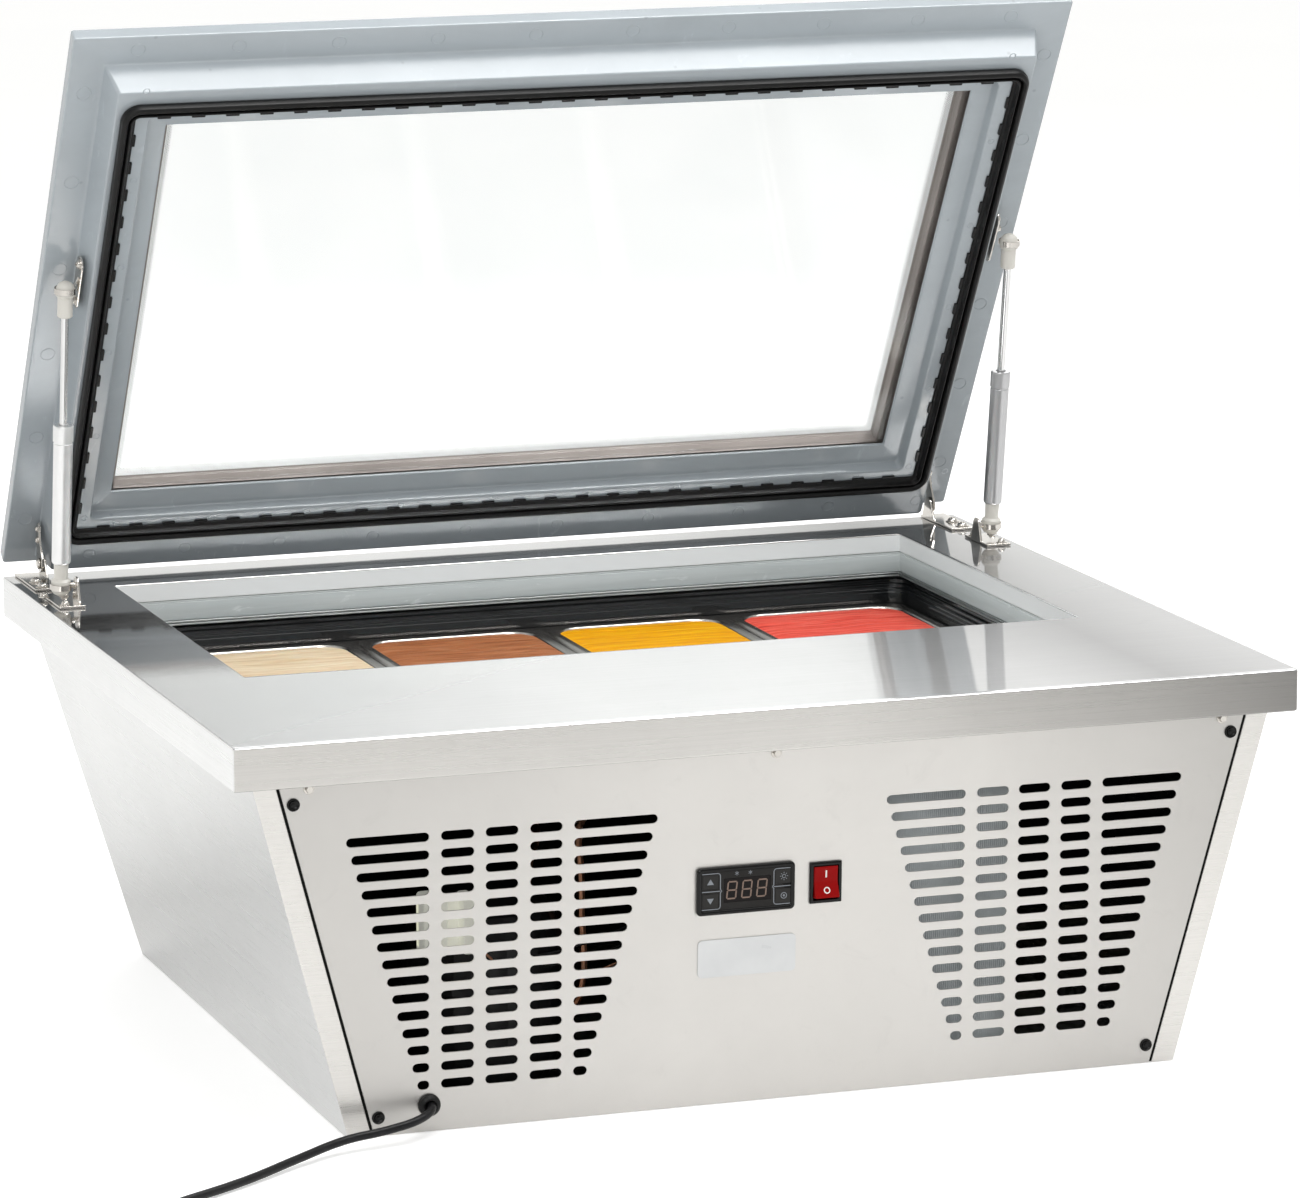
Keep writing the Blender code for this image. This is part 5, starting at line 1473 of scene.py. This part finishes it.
def arm_piece(matrix):
    """Flared tongue that carries the ball stud."""
    rows = [(0.0, 0.0075, 0.0060), (0.0030, 0.0050, 0.0045), (0.0060, 0.0034, 0.0034)]
    rows += [(0.0105, 0.0026, 0.0026)]
    rings = []
    for reach, wide, thick in rows:
        shift = 0.0095 * min(reach / 0.006, 1)
        rings.append([Vector((thick * cos(a) - shift, wide * sin(a), reach)) for a in turn(20)])
    return loft("bracket_arm", rings, matrix)


# ------------------------------------------------ controls
BEZEL_OUT = 0.0036
FACE_OUT = 0.0024
KEYS = ("key_up", "key_down", "key_light", "key_set")


def controller():
    """Panel thermostat: glossy frame round a matt face, smoked window, four membrane keys, printed marks."""
    x, y, wide, tall = front_span("controller_bezel")
    w = wide - 2 * GAP
    h = tall - 2 * GAP
    matrix = on_front(x, y)
    section = [
        (0.0, GAP, 0.0), (0.0, BEZEL_OUT - 0.0012, 0.0), (0.0014, BEZEL_OUT, 0.0),
        (0.0030, BEZEL_OUT - 0.0003, 0.0), (0.0036, BEZEL_OUT - 0.0012, 0.0), (0.0036, GAP, 0.0),
    ]
    rings = []
    for inset, z, _ in filleted(section, 0.0006, 3):
        radius = max(0.0034 - inset * 0.5, 0.001)
        rings.append(ring(-w / 2 + inset, w / 2 - inset, -h / 2 + inset, h / 2 - inset, z, radius, 6))
    show(loft("bezel_rim", rings, matrix, closed=True), CONTROL, "cabinet", ["controller_bezel"])
    loops = [rounded_rect(0, 0, w - 0.0070, h - 0.0070, 0.0018, 4)]
    for node in ("display_window", *KEYS):
        cx, cy, wide, tall = front_span(node)
        loops.append(rounded_rect(cx - x, cy - y, wide + GAP, tall + GAP, 0.0006, 2))
    face = plate("bezel_face", loops, 0.0018, matrix @ Matrix.Translation((0, 0, FACE_OUT)), 0.0001)
    show(face, FACE, "cabinet")
    display()
    keys()
    face_marks(x, y)


def stroke(points, thick):
    """Outline of a line of even width through the points."""
    left = []
    right = []
    for i, (x, y) in enumerate(points):
        a = points[max(i - 1, 0)]
        b = points[min(i + 1, len(points) - 1)]
        dx = b[0] - a[0]
        dy = b[1] - a[1]
        size = hypot(dx, dy)
        nx = -dy / size * thick / 2
        ny = dx / size * thick / 2
        left.append((x + nx, y + ny))
        right.append((x - nx, y - ny))
    return left + right[::-1]


def segment(cx, cy, length, thick, upright):
    """One bar of a seven-segment figure."""
    a = length / 2
    b = thick / 2
    points = [(-a, 0), (-a + b, -b), (a - b, -b), (a, 0), (a - b, b), (-a + b, b)]
    if upright:
        points = [(y, x) for x, y in points][::-1]
    slant = 0.10
    return [(cx + px + slant * (cy + py), cy + py) for px, py in points]


def display():
    """Smoked window with three unlit seven-segment figures."""
    x, y, wide, tall = front_span("display_window")
    pane = [rounded_rect(0, 0, wide, tall, 0.0005, 2)]
    spot = on_front(x, y, FACE_OUT - 0.0002)
    show(plate("window_pane", pane, 0.0016, spot, 0.0001), WINDOW, "cabinet", ["display_window"])
    loops = []
    across = 0.0068
    up = 0.0063
    split = 0.0003
    thick = 0.0011
    for k in range(3):
        cx = (k - 1) * 0.0116
        for cy in (-up, 0.0, up):
            loops.append(segment(cx, cy, across - split, thick, False))
        for cy in (-up / 2, up / 2):
            for dx in (-across / 2, across / 2):
                loops.append(segment(cx + dx, cy, up - split, thick, True))
    made = plate("display_figures", loops, 0.0002, on_front(x - 0.0004, y, FACE_OUT - 0.0001))
    show(made, DIGIT, "cabinet")


def keys():
    """Membrane pads level with the face: arrows on the left pair, a lamp and a ring on the right pair."""
    arrow = [(-0.0026, -0.0020), (0.0026, -0.0020), (0.0, 0.0022)]
    flipped = [(x, -y) for x, y in arrow][::-1]
    lamp = [stroke(circle(0, 0.0002, 0.0013, 16), 0.0004)]
    for k in range(8):
        angle = radians(45 * k)
        a = (0.0021 * cos(angle), 0.0002 + 0.0021 * sin(angle))
        b = (0.0031 * cos(angle), 0.0002 + 0.0031 * sin(angle))
        lamp.append(stroke([a, b], 0.0004))
    loop = [circle(0, 0, 0.0024, 20), circle(0, 0, 0.0019, 20)[::-1], circle(0, 0, 0.0008, 12)]
    shapes = {"key_up": [arrow], "key_down": [flipped], "key_light": lamp, "key_set": loop}
    for node, loops in shapes.items():
        x, y, wide, tall = front_span(node)
        centre = on_front(x, y, FACE_OUT + 0.0001)
        pad = [rounded_rect(0, 0, wide - 0.0001, tall - 0.0001, 0.0006, 2)]
        show(plate(node + "_pad", pad, 0.0012, centre, 0.00005), KEY, node, [node])
        mark = centre @ Matrix.Translation((0, 0, 0.0001))
        show(plate(node + "_mark", loops, 0.0001, mark), MARK, node)


def face_marks(x, y):
    """Printed brackets round the keys and two frost signs over the window."""
    thick = 0.0006
    low = local_box("key_up", FRONT)[0].x - x
    loops = []
    for edge, way, far in ((-0.0199, 1, low - 0.0002), (0.0215, -1, 0.0352)):
        r = 0.0022
        top = 0.0134
        arc = []
        for k in range(7):
            angle = radians(15 * k)
            arc.append((edge - way * r + way * r * sin(angle), top - r + r * cos(angle)))
        half = [(far, top)] + arc + [(edge, 0.0012), (edge + way * 0.0011, 0.0002)]
        loops.append(stroke(half, thick))
        loops.append(stroke([(px, -py) for px, py in half], thick))
        loops.append(stroke([(far, 0.0), (edge, 0.0)], thick))
    for cx in (-0.0072, 0.0032):
        for k in range(3):
            angle = radians(30 + 60 * k)
            a = (cx - 0.0016 * cos(angle), 0.0124 - 0.0016 * sin(angle))
            b = (cx + 0.0016 * cos(angle), 0.0124 + 0.0016 * sin(angle))
            loops.append(stroke([a, b], 0.00035))
    pieces = [plate("face_marks", [loop], 0.0001, on_front(x, y, FACE_OUT + 0.0001)) for loop in loops]
    show(merged("face_marks", pieces), MARK, "cabinet")


def rocker():
    """Snap-in frame and the red rocker, dished on both halves, with a bar and a ring."""
    round_edges("rocker_housing", 0.0006, 3)
    coat(CONTROL, "rocker_housing")
    pivot = Vector(JOINTS["rocker_tip"]["pos_m"])
    matrix = Matrix.Translation(pivot) @ Matrix.Rotation(pi / 2 + TILT - radians(10), 4, "X")
    half, reach, _ = local_box("rocker", matrix)[1]
    middle = 0.0021
    rise = 0.0027
    hollow = 1.6
    side = []
    steps = 24
    for k in range(steps + 1):
        y = -reach + 2 * reach * k / steps
        share = abs(y) / reach
        side.append((y, middle + rise * share ** hollow - 0.0006 * max(0.0, share - 0.88) / 0.12))
    side += [(reach - 0.0003, -0.0040), (0.0, -0.0070), (-reach + 0.0003, -0.0040)]
    rings = []
    for x, inset in ((-half, 0.0007), (-half + 0.0006, 0.0), (half - 0.0006, 0.0), (half, 0.0007)):
        rings.append([Vector((x, y * (1 - inset * 20), z - inset)) for y, z in side])
    show(loft("rocker_cap", rings, matrix, angle=50), RED, "rocker", ["rocker"])
    bar = [rounded_rect(0, 0, 0.0011, 0.0056, 0.0003, 2)]
    circles = [circle(0, 0, 0.0025, 24), circle(0, 0, 0.0017, 24)[::-1]]
    tilt_up = atan2(rise, reach) * 1.2
    share = 0.52
    z = middle + rise * share ** hollow + 0.00022
    marks = (("rocker_bar", bar, reach * share, 1), ("rocker_ring", circles, -reach * share, -1))
    for name, loops, y, way in marks:
        spot = matrix @ Matrix.Translation((0, y, z)) @ Matrix.Rotation(way * tilt_up, 4, "X")
        show(plate(name, loops, 0.0002, spot), WHITE_MARK, "rocker")


def badge():
    """Blank plate with a rounded edge."""
    x, y, wide, tall = front_span("badge_plate")
    matrix = on_front(x, y, local_box("badge_plate", FRONT)[1].z)
    body = plate("badge_body", [rounded_rect(0, 0, wide, tall, 0.0036, 6)], 0.0009, matrix, 0.0003, 2)
    show(body, BADGE, "cabinet", ["badge_plate"])


def cable():
    """Moulded grommet and the cord that leaves through it."""
    x, y, _, _ = front_span("cable_grommet")
    section = [
        (0.0039, -0.0050, 0.0), (0.0039, 0.0052, 0.0), (0.0056, 0.0056, 0.0), (0.0080, 0.0034, 0.0),
        (0.0086, 0.0004, 0.0), (0.0064, 0.0004, 0.0), (0.0064, -0.0016, 0.0), (0.0078, -0.0016, 0.0),
        (0.0078, -0.0046, 0.0), (0.0060, -0.0058, 0.0),
    ]
    rows = [(radius, height) for radius, height, _ in filleted(section, 0.0009, 3)]
    made = lathe("grommet_ring", rows, on_front(x, y), 36, closed=True, angle=60)
    show(made, SEAL, "cabinet", ["cable_grommet"])
    coat(CABLE, "power_cord")
    cord = frame["nodes"]["power_cord"]
    weld_points(cord)
    smooth = cord.modifiers.new("subdivide", "SUBSURF")
    smooth.levels = 2
    smooth.render_levels = 2
    cord.data.shade_smooth()


# ------------------------------------------------ machine compartment
def machine():
    """Relay cover, fins with their pipes, and loose leads behind the grilles."""
    low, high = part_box("terminal_box")
    depth = high.y - low.y
    matrix = Matrix.Translation((0, high.y, 0)) @ Matrix.Rotation(pi / 2, 4, "X")
    blocks = []
    for x0, x1, z1 in ((low.x, low.x + 0.019, high.z), (low.x + 0.030, low.x + 0.040, high.z - 0.002)):
        rows = [ring(x0, x1, low.z, z1, z, 0.003, 4) for z in (0.0, depth - 0.002)]
        rows.append(ring(x0 + 0.001, x1 - 0.001, low.z + 0.001, z1 - 0.001, depth, 0.003, 4))
        blocks.append(loft("relay_block", rows, matrix))
    rows = [ring(low.x, high.x, low.z + 0.004, high.z - 0.006, z, 0.002, 3) for z in (0.0, 0.006)]
    base = loft("relay_base", rows, matrix)
    show(merged("relay_cover", blocks + [base]), CREAM, "cabinet", ["terminal_box"])
    fins()
    loose_wires(low, high)


def fins():
    """Stack of thin upright fins, crossed by straight pipes."""
    low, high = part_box("condenser")
    pitch = 0.0016
    count = int((high.x - low.x) / pitch)
    mesh = bmesh.new()
    for k in range(count):
        x = low.x + 0.0003 + k * pitch
        rings = [ring(x, x + 0.0010, low.y, high.y, z) for z in (low.z, high.z)]
        join_rings(mesh, rings)
    show(solid("condenser_fins", mesh), COIL_GREY, "cabinet", ["condenser"])
    rows = 8
    for k in range(rows):
        z = low.z + 0.016 + k * (high.z - low.z - 0.032) / (rows - 1)
        path = [(low.x - 0.004, low.y + 0.012, z), (high.x + 0.002, low.y + 0.012, z)]
        show(wire(f"condenser_pipe_{k + 1}", path, 0.0034, smooth=False), COPPER, "cabinet")


def loose_wires(low, high):
    """Leads from the relay cover towards the thermostat."""
    for index, (drop, finish) in enumerate(((0.0, CABLE), (0.006, SEAL), (0.012, COPPER))):
        path = [
            (high.x - 0.010, high.y - 0.004, low.z + 0.020 - drop),
            (high.x + 0.030, high.y + 0.012, low.z - 0.010 - drop),
            (high.x + 0.090, high.y + 0.004, low.z - 0.002 - drop * 2),
            (-0.052, high.y + 0.012, 0.150 - drop),
        ]
        show(wire(f"lead_{index + 1}", path, 0.0011), finish, "cabinet")


# ------------------------------------------------ carried-over nodes
def carried_over():
    """Finishes for the CAD nodes whose shape stays."""
    coat(SIDE_STEEL, "rear_panel")
    coat(ZINC, "base_pan")
    coat(BLACK_PAINT, "fan_shroud")
    coat(FOAM, "insulation_foam", "worktop_core")
    coat(COPPER, "evaporator_coil", "suction_pipe", "discharge_pipe")
    coat(BLACK_PAINT, "compressor", "fan_motor")
    coat(DARK_SKIN_AND_SHADE, "fan_blade")
    coat(CONTROL, "controller_body")
    for tag in ("left", "right"):
        coat(NICKEL, "hinge_base_" + tag, "hinge_leaf_" + tag, "strut_foot_" + tag)
        round_edges("hinge_base_" + tag, 0.0004)
        round_edges("hinge_leaf_" + tag, 0.0004)
    for node in ("compressor", "suction_pipe", "discharge_pipe", "evaporator_coil"):
        frame["nodes"][node].data.shade_smooth()


# ------------------------------------------------ stage
def floor_finish():
    """Pale seamless sweep with a trace of mottling."""
    p = Paint("studio_floor", "stage")
    cloud = p.noise((1.5, 1.5, 1.5), 3)
    seen = p.node("LightPath").outputs["Is Camera Ray"]
    pale = p.ramp(cloud, (0.3, (0.90, 0.90, 0.90)), (0.7, (0.92, 0.92, 0.92)))
    p.set(Base_Color=p.mix(seen, (0.78, 0.78, 0.775), pale), Roughness=0.85)
    p.set(Emission_Color=(1, 1, 1, 1), Emission_Strength=p.spread(seen, 0, 1, 0.22, 0.38))
    return p.material


def stage():
    """Wide floor under the cabinet."""
    mesh = bmesh.new()
    size = 9.0
    rings = [ring(-size, size, -size, size, z) for z in (-0.05, -0.0004)]
    join_rings(mesh, rings)
    floor = solid("studio_floor", mesh)
    floor.data.materials.append(floor_finish())


def area_light(name, location, target, size, power):
    """A rectangular white light that faces its target."""
    data = bpy.data.lights.new(name, "AREA")
    data.shape = "RECTANGLE"
    data.size = size[0]
    data.size_y = size[1]
    data.energy = power
    made = bpy.data.objects.new(name, data)
    bpy.context.scene.collection.objects.link(made)
    made.location = location
    made.rotation_euler = (Vector(target) - Vector(location)).to_track_quat("-Z", "Y").to_euler()
    return made


def world():
    """White for the camera; a soft studio for everything it lights, brightest low behind the cabinet."""
    made = bpy.data.worlds.new("studio")
    bpy.context.scene.world = made
    made.use_nodes = True
    tree = made.node_tree
    tree.nodes.clear()
    new = tree.nodes.new
    link = tree.links.new
    place = new("ShaderNodeTexCoord")
    split = new("ShaderNodeSeparateXYZ")
    link(place.outputs["Generated"], split.inputs[0])
    upward = ((0.0, 0.60), (0.5, 1.0), (0.60, 1.08), (0.75, 0.85), (1.0, 0.80))
    rearward = ((0.0, 0.52), (0.5, 0.70), (0.85, 1.0), (1.0, 1.0))
    height = grey_ramp(tree, split.outputs[2], upward)
    depth = grey_ramp(tree, split.outputs[1], rearward)
    both = new("ShaderNodeMix")
    both.data_type = "RGBA"
    both.blend_type = "MULTIPLY"
    both.inputs[0].default_value = 1.0
    link(height, both.inputs[6])
    link(depth, both.inputs[7])
    soft = new("ShaderNodeBackground")
    link(both.outputs[2], soft.inputs[0])
    white = new("ShaderNodeBackground")
    white.inputs[0].default_value = (1, 1, 1, 1)
    white.inputs[1].default_value = 1.02
    rays = new("ShaderNodeLightPath")
    blend = new("ShaderNodeMixShader")
    output = new("ShaderNodeOutputWorld")
    link(rays.outputs["Is Camera Ray"], blend.inputs[0])
    link(soft.outputs[0], blend.inputs[1])
    link(white.outputs[0], blend.inputs[2])
    link(blend.outputs[0], output.inputs[0])


def grey_ramp(tree, source, stops):
    """Maps one direction component, -1 to 1, to a grey."""
    shift = tree.nodes.new("ShaderNodeMath")
    shift.operation = "MULTIPLY_ADD"
    shift.inputs[1].default_value = 0.5
    shift.inputs[2].default_value = 0.5
    tree.links.new(source, shift.inputs[0])
    ramp = tree.nodes.new("ShaderNodeValToRGB")
    elements = ramp.color_ramp.elements
    while len(elements) < len(stops):
        elements.new(0.5)
    for element, (position, value) in zip(elements, stops):
        element.position = position
        element.color = (value, value, value * 0.99, 1)
    tree.links.new(shift.outputs[0], ramp.inputs[0])
    return ramp.outputs[0]


def lights():
    """Three soft boxes, and two strips that are only seen as reflections."""
    area_light("overhead", (0.5, -0.45, 2.7), (0, 0.1, 0.3), (2.4, 1.6), 44)
    area_light("key", (-1.7, -2.6, 2.3), (0, 0.1, 0.4), (1.5, 1.5), 26)
    area_light("back", (0.6, 2.8, 2.0), (0, 0, 0.35), (3.0, 1.4), 20)
    for name, y, depth, power in (("strip_far", 0.20, 0.30, 22), ("strip_near", -0.46, 0.18, 14)):
        strip = area_light(name, (0.68, y, 2.4), (0.68, y + 0.15, 0.4), (1.7, depth), power)
        strip.visible_diffuse = False


def camera():
    """Long lens from the front left, a little above."""
    yaw = radians(19.172)
    pitch = radians(10.978)
    roll = radians(0.151)
    data = bpy.data.cameras.new("camera")
    data.lens = 177.8
    data.sensor_width = 36.0
    data.clip_start = 0.1
    data.clip_end = 60.0
    made = bpy.data.objects.new("camera", data)
    bpy.context.scene.collection.objects.link(made)
    aim = Matrix.Rotation(-yaw, 4, "Z") @ Matrix.Rotation(pi / 2 - pitch, 4, "X")
    aim = aim @ Matrix.Rotation(-roll, 4, "Z")
    made.matrix_world = Matrix.Translation((-1.5796, -4.5995, 1.2586)) @ aim
    bpy.context.scene.camera = made


def look():
    """Plain display transform."""
    view = bpy.context.scene.view_settings
    view.view_transform = "Standard"
    view.look = "None"
    view.exposure = 0.0
    view.gamma = 1.0


def build():
    """Every piece, finish, light and the camera, in order."""
    worktop()
    front_panel()
    side_panels()
    dark_gap_fillers()
    panel_screws()
    rear_details()
    throat()
    liner()
    rack()
    pans()
    lid_frame()
    ejector_marks()
    gasket()
    glazing()
    hinge_screws()
    for tag, side in SIDES:
        strut(tag, side)
    strut_feet()
    strut_brackets()
    controller()
    rocker()
    badge()
    cable()
    machine()
    carried_over()
    stage()
    world()
    lights()
    camera()
    look()


build()
